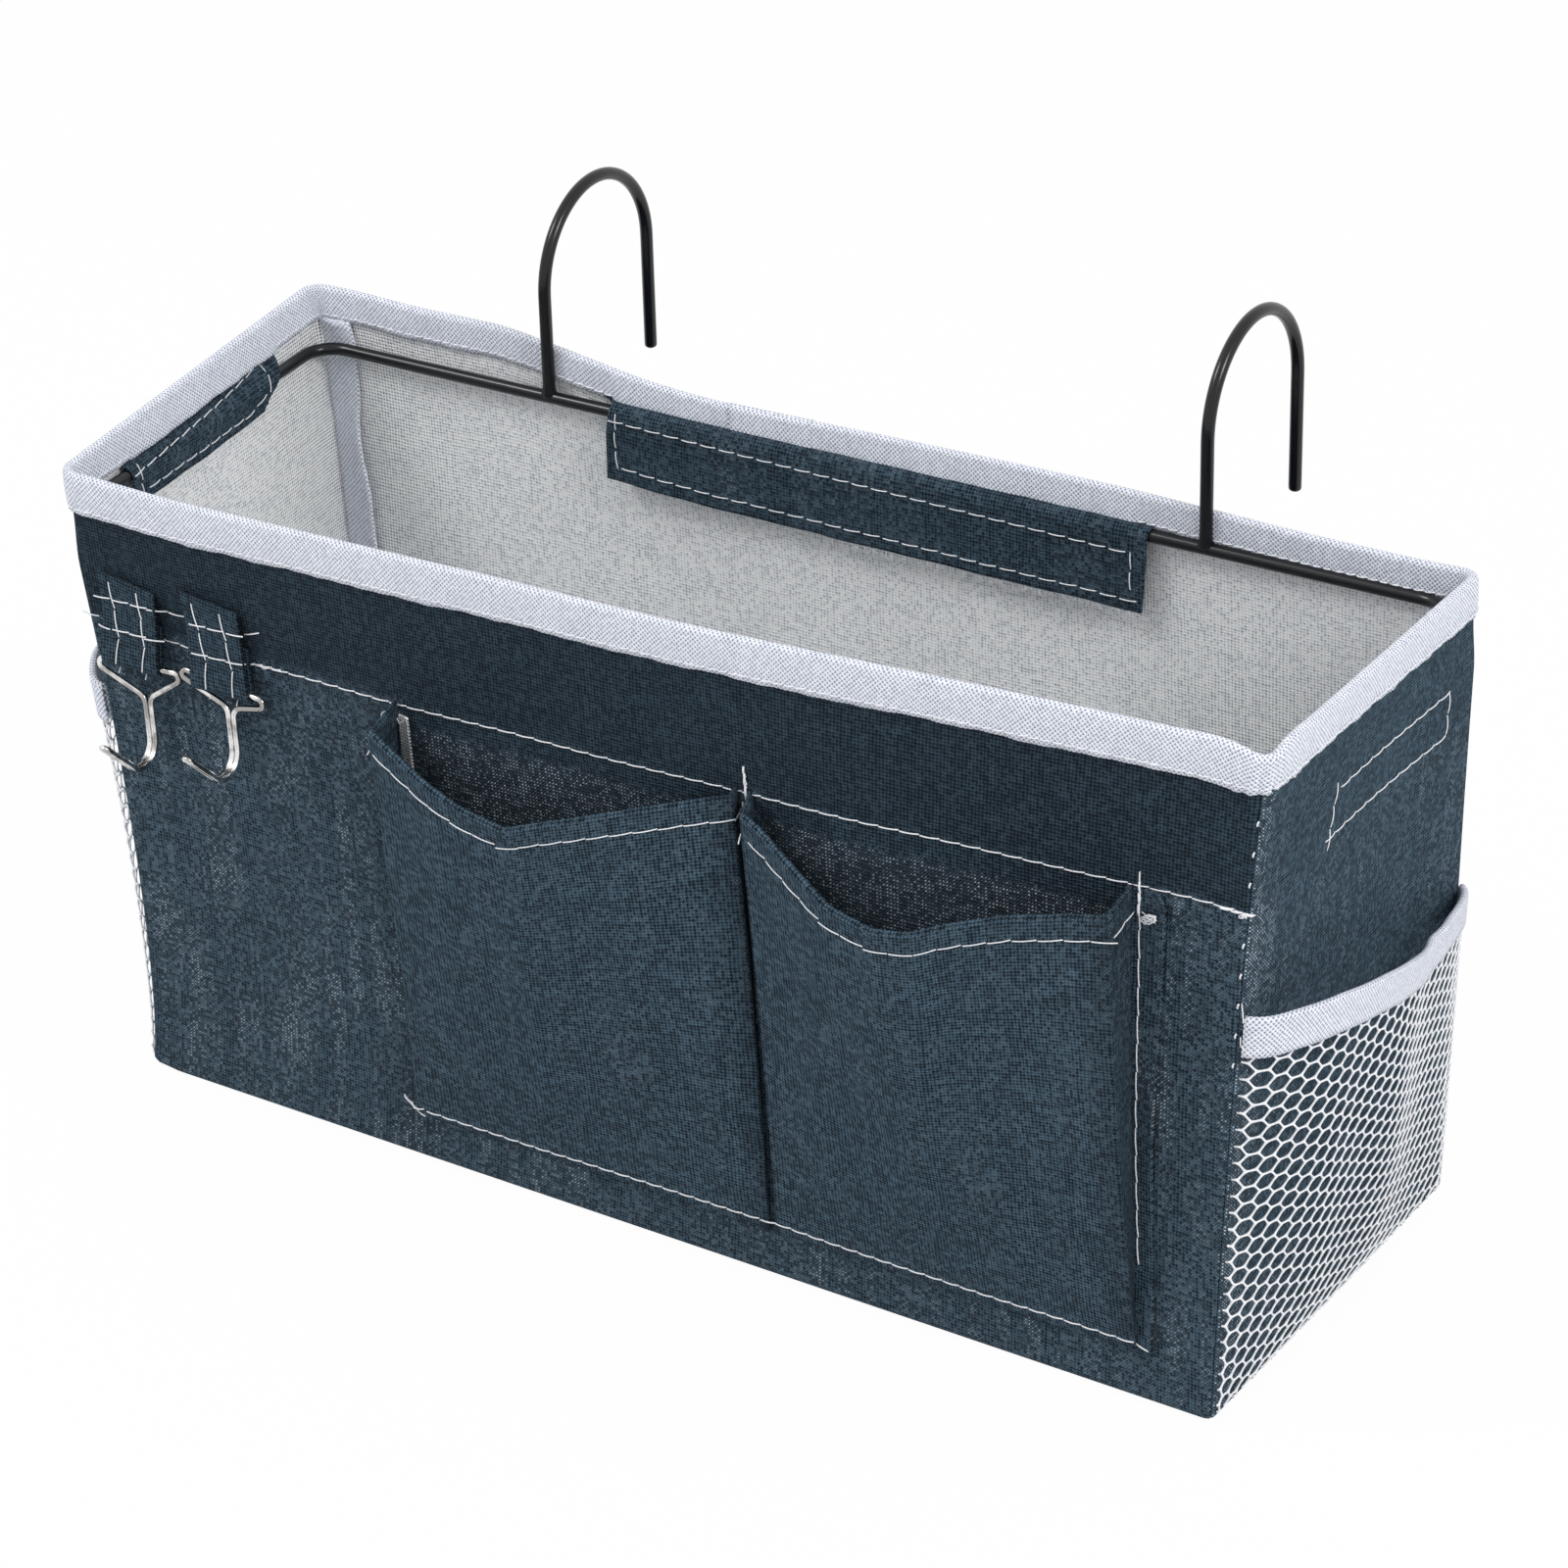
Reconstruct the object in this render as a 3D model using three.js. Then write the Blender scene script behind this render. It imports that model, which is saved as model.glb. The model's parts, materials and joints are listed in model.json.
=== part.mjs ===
import * as THREE from 'three';
import { mergeVertices } from 'three/addons/utils/BufferGeometryUtils.js';

// Bedside caddy, in millimetres, +Z up.
// A canvas box hangs on a bent wire ring with two rail hooks. The origin is the centre of the
// underside of the base, +X runs along the length, -Y is the pocket side, +Y the rail side.

// Sewn box
const RIM_LENGTH = 380;
const BASE_LENGTH = 362;
const DEPTH = 136;
const HEIGHT = 203;
const WALL_CLOTH = 1.8;
const BASE_CLOTH = 2;
const FRONT_BOW = 5;
const GAP = 0.3;

// White binding tape on the rim, and the seam tapes in the inner corners
const BINDING_TAPE = 0.9;
const BINDING_DROP = 12;
const SEAM_TAPE = 0.7;
const SEAM_WING = 11;
const SEAM_FOOT = 3;

// Wire ring and rail hooks
const RING_WIRE = 4;
const RING_CORNER = 13;
const RAIL_WIRE = 4;
const RAIL_HOOK_SPACING = 218;
const RAIL_REACH = 55;
const RAIL_RISE = 16;
const RAIL_TIP_DROP = 37;

// Sleeve flaps that wrap the ring, with their hook and loop tapes
const FLAP_CLOTH = 1.4;
const FASTENER_TAPE = 0.9;
const FLAP_TURN = 11;
const FLAP_HEM = 1.6;
const BACK_FLAP_DROP = 28;
const LEFT_FLAP_DROP = 21;
const RIGHT_FLAP_DROP = 29;
const FLAP_TO_RAIL_HOOK = 17;
const FLAP_TO_CORNER = 28;

// Strap tabs and the bright wire hooks in them
const TAB_WIDTH = 20;
const TAB_SPACE = 10;
const TAB_TO_CORNER = 8;
const TAB_CLOTH = 1;
const TAB_TOP_DROP = 33;
const TAB_LENGTH = 26;
const TAB_TAIL = 9;
const TAB_PINCH = 5;
const HOOK_WIRE = 1.6;
const HOOK_LOOP_WIDTH = 25;
const HOOK_LOOP_SIDE = 2.6;
const HOOK_NECK_DROP = 9;
const HOOK_SHANK = 10.5;
const HOOK_THROAT = 21;
const HOOK_TIP = 2.5;
const HOOK_BEND = 1.3;

// Front pockets
const POCKET_CLOTH = 1.2;
const POCKET_FOOT = 21;
const POCKET_TOP_DROP = 47;
const POCKET_TO_TAB = 50;
const POCKET_TO_CORNER = 30;
const POCKET_SPACE = 2.4;
const POCKET_HEM = 6;
const LEFT_POCKET = {
  cornerDrop: 9, farDrop: 1, nearProud: 13, middleProud: 17, farProud: 5, sag: 18, skewShare: 0.68,
};
const RIGHT_POCKET = {
  cornerDrop: 3, farDrop: 1, nearProud: 5, middleProud: 18, farProud: 7, sag: 21, skewShare: 0.76,
};
const GUSSET_SHARE = 0.1;

// Mesh pockets on the ends
const NET_THREAD = 0.8;
const NET_STRAND = 1.1;
const NET_COLUMNS = 9;
const NET_ROWS = 10;
const NET_FOOT = 3.4;
const NET_FRONT_DROP = 80;
const NET_REAR_DROP = 97;
const NET_BULGE = 15;
const NET_SKEW_SHARE = 0.8;
const NET_EDGE = 1.5;
const NET_BINDING_DROP = 11;

// Facets
const WIRE_SIDES = 10;
const HOOK_SIDES = 6;
const BEND_STEPS = 7;
const SMALL_BEND_STEPS = 3;
const WALL_STEPS = 10;
const WALL_ROWS = 4;
const PROBE_SHARE = 0.002;

// Colours
const NAVY = 0x354450;
const LINING = 0xa8acb6;
const WHITE = 0xe8eaf0;
const BLACK = 0x0d0f13;
const NICKEL = 0xb4b0a8;

const finish = (color, roughness, metalness) => () =>
  new THREE.MeshStandardMaterial({ color, roughness, metalness });
const canvas = finish(NAVY, 0.9, 0);
const lining = finish(LINING, 0.85, 0);
const tape = finish(WHITE, 0.8, 0);
const gripTape = finish(NAVY, 0.95, 0);
const blackWire = finish(BLACK, 0.25, 0.4);
const nickel = finish(NICKEL, 0.3, 1);

const lerp = THREE.MathUtils.lerp;
const caddy = new THREE.Group();

function add(name, geometry, material) {
  const mesh = new THREE.Mesh(geometry, material());
  mesh.name = name;
  caddy.add(mesh);
}

// A closed solid from corner points and triangles, turned so that its faces point outwards.
function solid(vertices, triangles) {
  const volume = triangles.reduce((sum, [a, b, c]) => {
    const cross = new THREE.Vector3().crossVectors(vertices[b], vertices[c]);
    return sum + vertices[a].dot(cross);
  }, 0);
  const turned = volume < 0 ? triangles.map(([a, b, c]) => [a, c, b]) : triangles;
  const geometry = new THREE.BufferGeometry().setFromPoints(vertices);
  geometry.setIndex(turned.flat());
  geometry.computeVertexNormals();
  return geometry;
}

// A sheet with a thickness: a flat mesh in the sheet's own two directions, laid on both faces by
// place(u, v, layer), with a wall along every open edge, round gaps too.
function sheet(points, triangles, place) {
  const count = points.length;
  const faces = [];
  const open = new Map();
  for (const corners of triangles) {
    const [a, b, c] = corners;
    faces.push([a, b, c], [a + count, c + count, b + count]);
    corners.forEach((from, i) => {
      const to = corners[(i + 1) % 3];
      if (!open.delete(`${to} ${from}`)) open.set(`${from} ${to}`, [from, to]);
    });
  }
  for (const [from, to] of open.values()) {
    faces.push([to, from, from + count], [to, from + count, to + count]);
  }
  const vertices = [0, 1].flatMap((layer) => points.map(([u, v]) => place(u, v, layer)));
  return solid(vertices, faces);
}

// A plain grid of points and triangles for a sheet, at the given shares of its two directions.
function grid(across, up) {
  const points = up.flatMap((v) => across.map((u) => [u, v]));
  const triangles = [];
  for (let row = 0; row + 1 < up.length; row++) {
    for (let column = 0; column + 1 < across.length; column++) {
      const a = row * across.length + column;
      const b = a + across.length;
      triangles.push([a, a + 1, b + 1], [a, b + 1, b]);
    }
  }
  return [points, triangles];
}

const evenShares = (steps) => Array.from({ length: steps + 1 }, (_, i) => i / steps);

// Both faces of a sheet, half its thickness to each side of a middle surface.
function bothFaces(middle, thickness) {
  return (u, v, layer) => {
    const here = middle(u, v);
    const across = middle(u + PROBE_SHARE, v).sub(middle(u - PROBE_SHARE, v));
    const up = middle(u, v + PROBE_SHARE).sub(middle(u, v - PROBE_SHARE));
    const normal = across.cross(up).normalize();
    return here.addScaledVector(normal, (layer - 0.5) * thickness(u, v));
  };
}

// An outline carried through a row of placings, closed into a ring or capped at both ends.
function sweep(outline, placings, ring = false) {
  const count = outline.length;
  const vertices = placings.flatMap((place) => outline.map(([x, y]) => place(x, y)));
  const triangles = [];
  const links = ring ? placings.length : placings.length - 1;
  for (let i = 0; i < links; i++) {
    const here = i * count;
    const next = ((i + 1) % placings.length) * count;
    outline.forEach((_, a) => {
      const b = (a + 1) % count;
      triangles.push([here + a, here + b, next + b], [here + a, next + b, next + a]);
    });
  }
  if (!ring) {
    const last = vertices.length - count;
    const flat = outline.map(([x, y]) => new THREE.Vector2(x, y));
    const turn = THREE.ShapeUtils.area(flat);
    for (const [a, b, c] of THREE.ShapeUtils.triangulateShape(flat, [])) {
      const same = THREE.ShapeUtils.area([flat[a], flat[b], flat[c]]) * turn > 0;
      const [p, q, r] = same ? [a, b, c] : [a, c, b];
      triangles.push([r, q, p], [last + p, last + q, last + r]);
    }
  }
  return solid(vertices, triangles);
}

// The outline of a band of the given thickness whose middle follows a line of points.
function band(line, thickness) {
  const points = line.map(([x, y]) => new THREE.Vector2(x, y));
  const sides = points.map((point, i) => {
    const before = points[Math.max(i - 1, 0)];
    const after = points[Math.min(i + 1, points.length - 1)];
    const into = point.clone().sub(before).normalize();
    const out = after.clone().sub(point).normalize();
    const along = into.add(out).normalize();
    const reach = out.lengthSq() > 0 ? Math.max(along.dot(out), 0.5) : 1;
    return new THREE.Vector2(-along.y, along.x).multiplyScalar(thickness / 2 / reach);
  });
  const left = points.map((point, i) => point.clone().add(sides[i]).toArray());
  const right = points.map((point, i) => point.clone().sub(sides[i]).toArray());
  return [...left, ...right.reverse()];
}

// A route through corner points, each rounded by its own radius.
function route(corners, steps, ring = false) {
  const points = [];
  corners.forEach(({ at, radius }, i) => {
    const before = corners[(i + corners.length - 1) % corners.length].at;
    const after = corners[(i + 1) % corners.length].at;
    if (!radius || (!ring && (i === 0 || i === corners.length - 1))) {
      points.push(at.clone());
      return;
    }
    const back = before.clone().sub(at).normalize();
    const on = after.clone().sub(at).normalize();
    const half = back.angleTo(on) / 2;
    const centre = back.clone().add(on).normalize().multiplyScalar(radius / Math.sin(half)).add(at);
    const start = at.clone().addScaledVector(back, radius / Math.tan(half)).sub(centre);
    const axis = back.clone().cross(on).normalize();
    const turn = half * 2 - Math.PI;
    for (let step = 0; step <= steps; step++) {
      const arm = start.clone().applyAxisAngle(axis, turn * step / steps);
      points.push(arm.add(centre));
    }
  });
  return points.filter((point, i) => i === 0 || point.distanceTo(points[i - 1]) > GAP / 10);
}

class Route extends THREE.Curve {
  constructor(points) {
    super();
    this.points = points;
  }

  getPoint(share) {
    const place = THREE.MathUtils.clamp(share, 0, 1) * (this.points.length - 1);
    const index = Math.min(Math.floor(place), this.points.length - 2);
    return this.points[index].clone().lerp(this.points[index + 1], place - index);
  }

  getUtoTmapping(share) {
    return share;
  }
}

// A round wire bent along a route, with flat cut ends.
function wire(points, diameter, sides) {
  const section = new THREE.Shape(circle(diameter / 2, sides).map(([x, y]) => new THREE.Vector2(x, y)));
  const geometry = new THREE.ExtrudeGeometry(section, {
    steps: points.length - 1,
    extrudePath: new Route(points),
    bevelEnabled: false,
  });
  geometry.deleteAttribute('normal');
  geometry.deleteAttribute('uv');
  return mergeVertices(geometry);
}

function circle(radius, sides) {
  return Array.from({ length: sides }, (_, i) => {
    const angle = 2 * Math.PI * i / sides;
    return [radius * Math.cos(angle), radius * Math.sin(angle)];
  });
}

// The four walls. Places on a wall are given by the distance along it from its middle, the height
// above the floor, and the distance outwards from its outer face.
const halfLength = (height) => lerp(BASE_LENGTH, RIM_LENGTH, height / HEIGHT) / 2;
const halfDepth = () => DEPTH / 2;
const WALLS = {
  front: { reach: halfDepth, span: halfLength, bow: FRONT_BOW, turn: (along, out) => [along, -out] },
  back: { reach: halfDepth, span: halfLength, bow: 0, turn: (along, out) => [along, out] },
  left: { reach: halfLength, span: halfDepth, bow: 0, turn: (along, out) => [-out, along] },
  right: { reach: halfLength, span: halfDepth, bow: 0, turn: (along, out) => [out, along] },
};

// How far the cloth of a wall bows out between its corners, growing towards the rim.
function bowAt(wall, along, height) {
  const share = Math.min(Math.abs(along) / wall.span(height), 1);
  return wall.bow * (1 - share ** 2) ** 2 * height / HEIGHT;
}

function onWall(wall, along, height, out) {
  const [x, y] = wall.turn(along, wall.reach(height) + bowAt(wall, along, height) + out);
  return new THREE.Vector3(x, y, height);
}

// The same, by the share of the wall from corner to corner, so that pieces mitre at the corners.
function onMitredWall(wall, share, height, out, trim = 0) {
  return onWall(wall, share * (wall.span(height) + out - trim), height, out);
}

// Base and walls
const panelFoot = BASE_CLOTH + GAP;
const panelTop = HEIGHT - BINDING_TAPE - GAP;
const innerFace = -WALL_CLOTH;
const mitreTrim = GAP * Math.SQRT1_2;

const base = new THREE.BoxGeometry(BASE_LENGTH, DEPTH, BASE_CLOTH);
base.translate(0, 0, BASE_CLOTH / 2);
add('base_panel', base, canvas);

const panelNames = {
  front: 'front_panel', back: 'back_panel', left: 'left_end_panel', right: 'right_end_panel',
};
for (const [side, name] of Object.entries(panelNames)) {
  const wall = WALLS[side];
  const [points, triangles] = grid(evenShares(wall.bow ? WALL_STEPS : 1), evenShares(WALL_ROWS));
  const place = (u, v, layer) =>
    onMitredWall(wall, 2 * u - 1, lerp(panelFoot, panelTop, v), layer ? 0 : innerFace, mitreTrim);
  add(name, sheet(points, triangles, place), canvas);
}

// Rim binding: one tape folded over the top edge of all four walls
const bindingFoot = HEIGHT - BINDING_DROP;
const bindingInside = innerFace - GAP - BINDING_TAPE;
const bindingOutside = GAP + BINDING_TAPE;
const bindingOutline = [
  [bindingOutside, bindingFoot],
  [bindingOutside, HEIGHT - BINDING_TAPE],
  [GAP, HEIGHT],
  [innerFace - GAP, HEIGHT],
  [bindingInside, HEIGHT - BINDING_TAPE],
  [bindingInside, bindingFoot],
  [innerFace - GAP, bindingFoot],
  [innerFace - GAP, HEIGHT - BINDING_TAPE],
  [GAP, HEIGHT - BINDING_TAPE],
  [GAP, bindingFoot],
];
const rimStations = [
  ...evenShares(WALL_STEPS).slice(1).map((share) => [WALLS.front, 2 * share - 1]),
  [WALLS.right, 1],
  [WALLS.back, -1],
];
add('rim_binding', sweep(
  bindingOutline,
  [[WALLS.front, -1], ...rimStations].map(([wall, share]) => (out, height) =>
    onMitredWall(wall, share, height, out)),
  true,
), tape);

// Seam tapes over the raw edges in the four inner corners
const seamFace = innerFace - GAP;
const seamOutline = [
  [0, 0], [SEAM_WING, 0], [SEAM_WING, SEAM_TAPE], [SEAM_TAPE, SEAM_TAPE], [SEAM_TAPE, SEAM_WING], [0, SEAM_WING],
];
const corners = {
  front_left: [-1, -1], front_right: [1, -1], back_left: [-1, 1], back_right: [1, 1],
};
for (const [name, [endSign, faceSign]] of Object.entries(corners)) {
  const placings = [SEAM_FOOT + BASE_CLOTH, bindingFoot - GAP].map((height) => (x, y) =>
    new THREE.Vector3(
      endSign * (halfLength(height) + seamFace - x),
      faceSign * (DEPTH / 2 + seamFace - y),
      height,
    ));
  add(`seam_tape_${name}`, sweep(seamOutline, placings), tape);
}

// Sleeve flaps. Each hangs from the foot of the binding, passes over the ring and closes on the
// wall below it. Its fold line is also the line that it opens about.
const flapAxisOut = bindingInside - GAP - FLAP_CLOTH / 2;
const flapAxisHeight = bindingFoot - GAP - FLAP_CLOTH / 2;
const sleeveRadius = RING_WIRE / 2 + GAP + FLAP_CLOTH / 2;
const ringOut = bindingInside - GAP - RING_WIRE / 2;
const ringHeight = flapAxisHeight - sleeveRadius;
const loopTapeOut = innerFace - GAP;
const gripTapeOut = loopTapeOut - FASTENER_TAPE - GAP;
const flapOut = gripTapeOut - FASTENER_TAPE - GAP - FLAP_CLOTH / 2;

function flapLine(drop) {
  const over = evenShares(BEND_STEPS - 2).map((share) => {
    const angle = Math.PI / 2 * (1 + share);
    return [ringOut + sleeveRadius * Math.cos(angle), ringHeight + sleeveRadius * Math.sin(angle)];
  });
  return [
    [flapAxisOut, flapAxisHeight],
    ...over,
    [flapOut, flapAxisHeight - FLAP_TURN],
    [flapOut, flapAxisHeight - drop],
  ];
}

function strip(wall, from, to, foot, top, out, thickness) {
  const outline = [[out, foot], [out, top], [out - thickness, top], [out - thickness, foot]];
  return sweep(outline, [from, to].map((along) => (x, height) => onWall(wall, along, height, x)));
}

const backFlapHalf = RAIL_HOOK_SPACING / 2 - FLAP_TO_RAIL_HOOK;
const endFlapHalf = DEPTH / 2 - FLAP_TO_CORNER;
const flaps = {
  back: { drop: BACK_FLAP_DROP, half: backFlapHalf },
  left: { drop: LEFT_FLAP_DROP, half: endFlapHalf },
  right: { drop: RIGHT_FLAP_DROP, half: endFlapHalf },
};
for (const [side, { drop, half }] of Object.entries(flaps)) {
  const wall = WALLS[side];
  const placings = [-half, half].map((along) => (out, height) => onWall(wall, along, height, out));
  add(`${side}_sleeve_flap`, sweep(band(flapLine(drop), FLAP_CLOTH), placings), canvas);
  const tapeFoot = flapAxisHeight - drop + FLAP_HEM;
  const tapeTop = flapAxisHeight - FLAP_TURN - FLAP_HEM;
  const tapeHalf = half - FLAP_HEM;
  const fastener = [wall, -tapeHalf, tapeHalf, tapeFoot, tapeTop];
  add(`${side}_flap_hook_tape`, strip(...fastener, gripTapeOut, FASTENER_TAPE), gripTape);
  add(`${side}_wall_loop_tape`, strip(...fastener, loopTapeOut, FASTENER_TAPE), gripTape);
}

// Wire ring: one round wire bent to a rectangle, its cut closed by a weld
const ringX = halfLength(ringHeight) + ringOut;
const ringY = DEPTH / 2 + ringOut;
const ringRoute = route(
  [[-ringX, -ringY], [ringX, -ringY], [ringX, ringY], [-ringX, ringY]].map(([x, y]) =>
    ({ at: new THREE.Vector3(x, y, ringHeight), radius: RING_CORNER })),
  BEND_STEPS,
  true,
);
const ringPlacings = ringRoute.map((point, i) => {
  const before = ringRoute[(i + ringRoute.length - 1) % ringRoute.length];
  const after = ringRoute[(i + 1) % ringRoute.length];
  const along = after.clone().sub(before).normalize();
  const side = along.clone().cross(new THREE.Vector3(0, 0, 1));
  return (x, y) => point.clone().addScaledVector(side, x).add(new THREE.Vector3(0, 0, y));
});
add('wire_ring', sweep(circle(RING_WIRE / 2, WIRE_SIDES), ringPlacings, true), blackWire);

// Rail hooks: a leg welded on the ring, an arch over the rim and the bed rail, and a free tip
const railFoot = ringHeight + RING_WIRE / 2 + GAP;
const railCrown = HEIGHT + RAIL_RISE + RAIL_REACH / 2;
const railRadius = RAIL_REACH / 2;
for (const [name, sign] of [['left', -1], ['right', 1]]) {
  const x = sign * RAIL_HOOK_SPACING / 2;
  const corner = (y, z, radius) => ({ at: new THREE.Vector3(x, y, z), radius });
  const points = route([
    corner(ringY, railFoot),
    corner(ringY, railCrown, railRadius),
    corner(ringY + RAIL_REACH, railCrown, railRadius),
    corner(ringY + RAIL_REACH, HEIGHT + RAIL_RISE - RAIL_TIP_DROP),
  ], BEND_STEPS + 2);
  add(`rail_hook_${name}`, wire(points, RAIL_WIRE, WIRE_SIDES), blackWire);
}

// Strap tabs: a canvas strap folded round the bar of its hook and sewn flat on the front
const tabTop = HEIGHT - TAB_TOP_DROP;
const barHeight = tabTop - TAB_LENGTH;
const tabBack = GAP + TAB_CLOTH / 2;
const tabFront = tabBack + TAB_CLOTH + GAP;
const eyeRadius = HOOK_WIRE / 2 + GAP + TAB_CLOTH / 2;
const barOut = tabBack + eyeRadius;
const tabCentres = [0, 1].map((index) =>
  -halfLength(barHeight) + TAB_TO_CORNER + TAB_WIDTH / 2 + index * (TAB_WIDTH + TAB_SPACE));
const tabInnerEdge = tabCentres[1] + TAB_WIDTH / 2;
const tabPlanes = tabCentres.map((centre) =>
  DEPTH / 2 + bowAt(WALLS.front, centre + TAB_WIDTH / 2, tabTop));
const tabLine = [
  [tabFront, tabTop],
  [tabFront, barHeight + TAB_PINCH],
  ...evenShares(BEND_STEPS + 1).map((share) => {
    const angle = -Math.PI * share;
    return [barOut + eyeRadius * Math.cos(angle), barHeight + eyeRadius * Math.sin(angle)];
  }),
  [tabBack, barHeight + TAB_PINCH + TAB_TAIL],
];

// Bright hooks: one doubled wire, with a flat loop in the tab, a twin shank and an open throat
const strand = (HOOK_WIRE + GAP) / 2;
const loopHalf = HOOK_LOOP_WIDTH / 2;
function hookRoute(centre, plane) {
  const corner = (x, out, drop, radius) =>
    ({ at: new THREE.Vector3(centre + x, -(plane + barOut + out), barHeight - drop), radius });
  const throat = HOOK_THROAT / 2;
  const bottom = HOOK_NECK_DROP + HOOK_SHANK + throat;
  const half = (sign) => [
    corner(sign * strand / 2, 0, 0),
    corner(sign * loopHalf, 0, 0, HOOK_BEND),
    corner(sign * loopHalf, 0, HOOK_LOOP_SIDE, HOOK_BEND),
    corner(sign * strand, 0, HOOK_NECK_DROP, HOOK_BEND),
    corner(sign * strand, 0, bottom, throat),
    corner(sign * strand, HOOK_THROAT, bottom, throat),
    corner(sign * strand, HOOK_THROAT, bottom - throat - HOOK_TIP - strand, strand),
  ];
  return route([...half(1), ...half(-1).reverse()], SMALL_BEND_STEPS + 1);
}

for (const [index, side] of ['left', 'right'].entries()) {
  const centre = tabCentres[index];
  const plane = tabPlanes[index];
  const placings = [-1, 1].map((sign) => (out, height) =>
    new THREE.Vector3(centre + sign * TAB_WIDTH / 2, -(plane + out), height));
  add(`strap_tab_${side}`, sweep(band(tabLine, TAB_CLOTH), placings), canvas);
  add(`wire_hook_${side}`, wire(hookRoute(centre, plane), HOOK_WIRE, HOOK_SIDES), nickel);
}

// Front pockets: two wedge pockets of single canvas, sewn at the sides and the foot, with a
// folded gusset at each side and a hemmed lip that sags between its corners
const pocketTop = HEIGHT - POCKET_TOP_DROP;
const pocketLeftSeam = tabInnerEdge + POCKET_TO_TAB;
const pocketRightSeam = halfLength(pocketTop) - POCKET_TO_CORNER;
const pocketMiddle = (pocketLeftSeam + pocketRightSeam) / 2;
const pocketRest = GAP + POCKET_CLOTH / 2;

function pocketSurface(from, to, shape) {
  const quadratic = (a, b, c, t) => a * (1 - t) ** 2 + 2 * b * t * (1 - t) + c * t ** 2;
  const middleHandle = 2 * shape.middleProud - (shape.nearProud + shape.farProud) / 2;
  return (u, v) => {
    const face = THREE.MathUtils.clamp((u - GUSSET_SHARE) / (1 - 2 * GUSSET_SHARE), 0, 1);
    const side = Math.min(u, 1 - u, GUSSET_SHARE) / GUSSET_SHARE;
    const proud = quadratic(shape.nearProud, middleHandle, shape.farProud, face) * side;
    const sag = shape.sag * Math.sin(Math.PI * face ** shape.skewShare);
    const lip = pocketTop - lerp(shape.cornerDrop, shape.farDrop, face) * side - sag;
    const inset = POCKET_CLOTH * side;
    const along = lerp(from + inset, to - inset, face);
    return onWall(WALLS.front, along, lerp(POCKET_FOOT, lip, v), pocketRest + proud * v);
  };
}

const gussetShares = [0, 0.5, 1].map((share) => share * GUSSET_SHARE);
const pocketAcross = [
  ...gussetShares,
  ...evenShares(WALL_STEPS).slice(1, -1).map((share) => lerp(GUSSET_SHARE, 1 - GUSSET_SHARE, share)),
  ...[...gussetShares].reverse().map((share) => 1 - share),
];
const hemShare = 1 - POCKET_HEM / (pocketTop - POCKET_FOOT);
const pocketUp = [...evenShares(WALL_ROWS).map((share) => share * hemShare), 1];
const hemmed = (_, v) => (v > hemShare ? 2 * POCKET_CLOTH : POCKET_CLOTH);
const pockets = {
  pocket_left: [pocketLeftSeam, pocketMiddle - POCKET_SPACE / 2, LEFT_POCKET],
  pocket_right: [pocketMiddle + POCKET_SPACE / 2, pocketRightSeam, RIGHT_POCKET],
};
for (const [name, [from, to, shape]] of Object.entries(pockets)) {
  const place = bothFaces(pocketSurface(from, to, shape), hemmed);
  add(name, sheet(...grid(pocketAcross, pocketUp), place), canvas);
}

// Mesh pockets: a net of six-sided gaps, gathered less at the mouth than at the foot, so that it
// bellies out, with its mouth edge in a folded binding tape
function netMesh() {
  const points = [];
  const triangles = [];
  const index = new Map();
  const point = (u, v) => {
    const key = `${u.toFixed(6)} ${v.toFixed(6)}`;
    if (!index.has(key)) {
      index.set(key, points.length);
      points.push([u, v]);
    }
    return index.get(key);
  };
  const jog = (column, step) => {
    if (column === 0 || column === NET_COLUMNS) return 0;
    return (column + step) % 2 ? -1 / 6 : 1 / 6;
  };
  const place = (column, step) => [(column + jog(column, step)) / NET_COLUMNS, step / 2 / NET_ROWS];
  const width = (DEPTH - 2 * NET_EDGE) / NET_COLUMNS;
  const holeShare = 1 - NET_STRAND / width;
  for (let column = 0; column < NET_COLUMNS; column++) {
    const offset = column % 2;
    for (let step = offset; step + 2 <= 2 * NET_ROWS; step += 2) {
      const rim = [
        [column, step], [column + 1, step], [column + 1, step + 1],
        [column + 1, step + 2], [column, step + 2], [column, step + 1],
      ].map(([c, s]) => place(c, s));
      const [midU, midV] = [0, 1].map((i) => rim.reduce((sum, p) => sum + p[i], 0) / rim.length);
      const hole = rim.map(([u, v]) => point(lerp(midU, u, holeShare), lerp(midV, v, holeShare)));
      const edge = rim.map(([u, v]) => point(u, v));
      edge.forEach((a, i) => {
        const j = (i + 1) % edge.length;
        triangles.push([a, edge[j], hole[j]], [a, hole[j], hole[i]]);
      });
    }
    for (const step of offset ? [0, 2 * NET_ROWS - 1] : []) {
      const [a, b, c, d] = [[column, step], [column + 1, step], [column + 1, step + 1], [column, step + 1]]
        .map(([k, s]) => point(...place(k, s)));
      triangles.push([a, b, c], [a, c, d]);
    }
  }
  return [points, triangles];
}

const netFootRest = GAP + NET_THREAD / 2;
const netMouthRest = netFootRest + BINDING_TAPE + 3 * GAP;
function netSurface(wall) {
  const half = DEPTH / 2 - NET_EDGE;
  return (u, v) => {
    const mouth = HEIGHT - lerp(NET_FRONT_DROP, NET_REAR_DROP, THREE.MathUtils.smoothstep(u, 0, 1));
    const belly = NET_BULGE * Math.sin(Math.PI * Math.min(Math.max(u, 0), 1) ** NET_SKEW_SHARE);
    const proud = lerp(netFootRest, netMouthRest + belly, v);
    return onWall(wall, lerp(-half, half, u), lerp(NET_FOOT, mouth, v), proud);
  };
}

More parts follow.
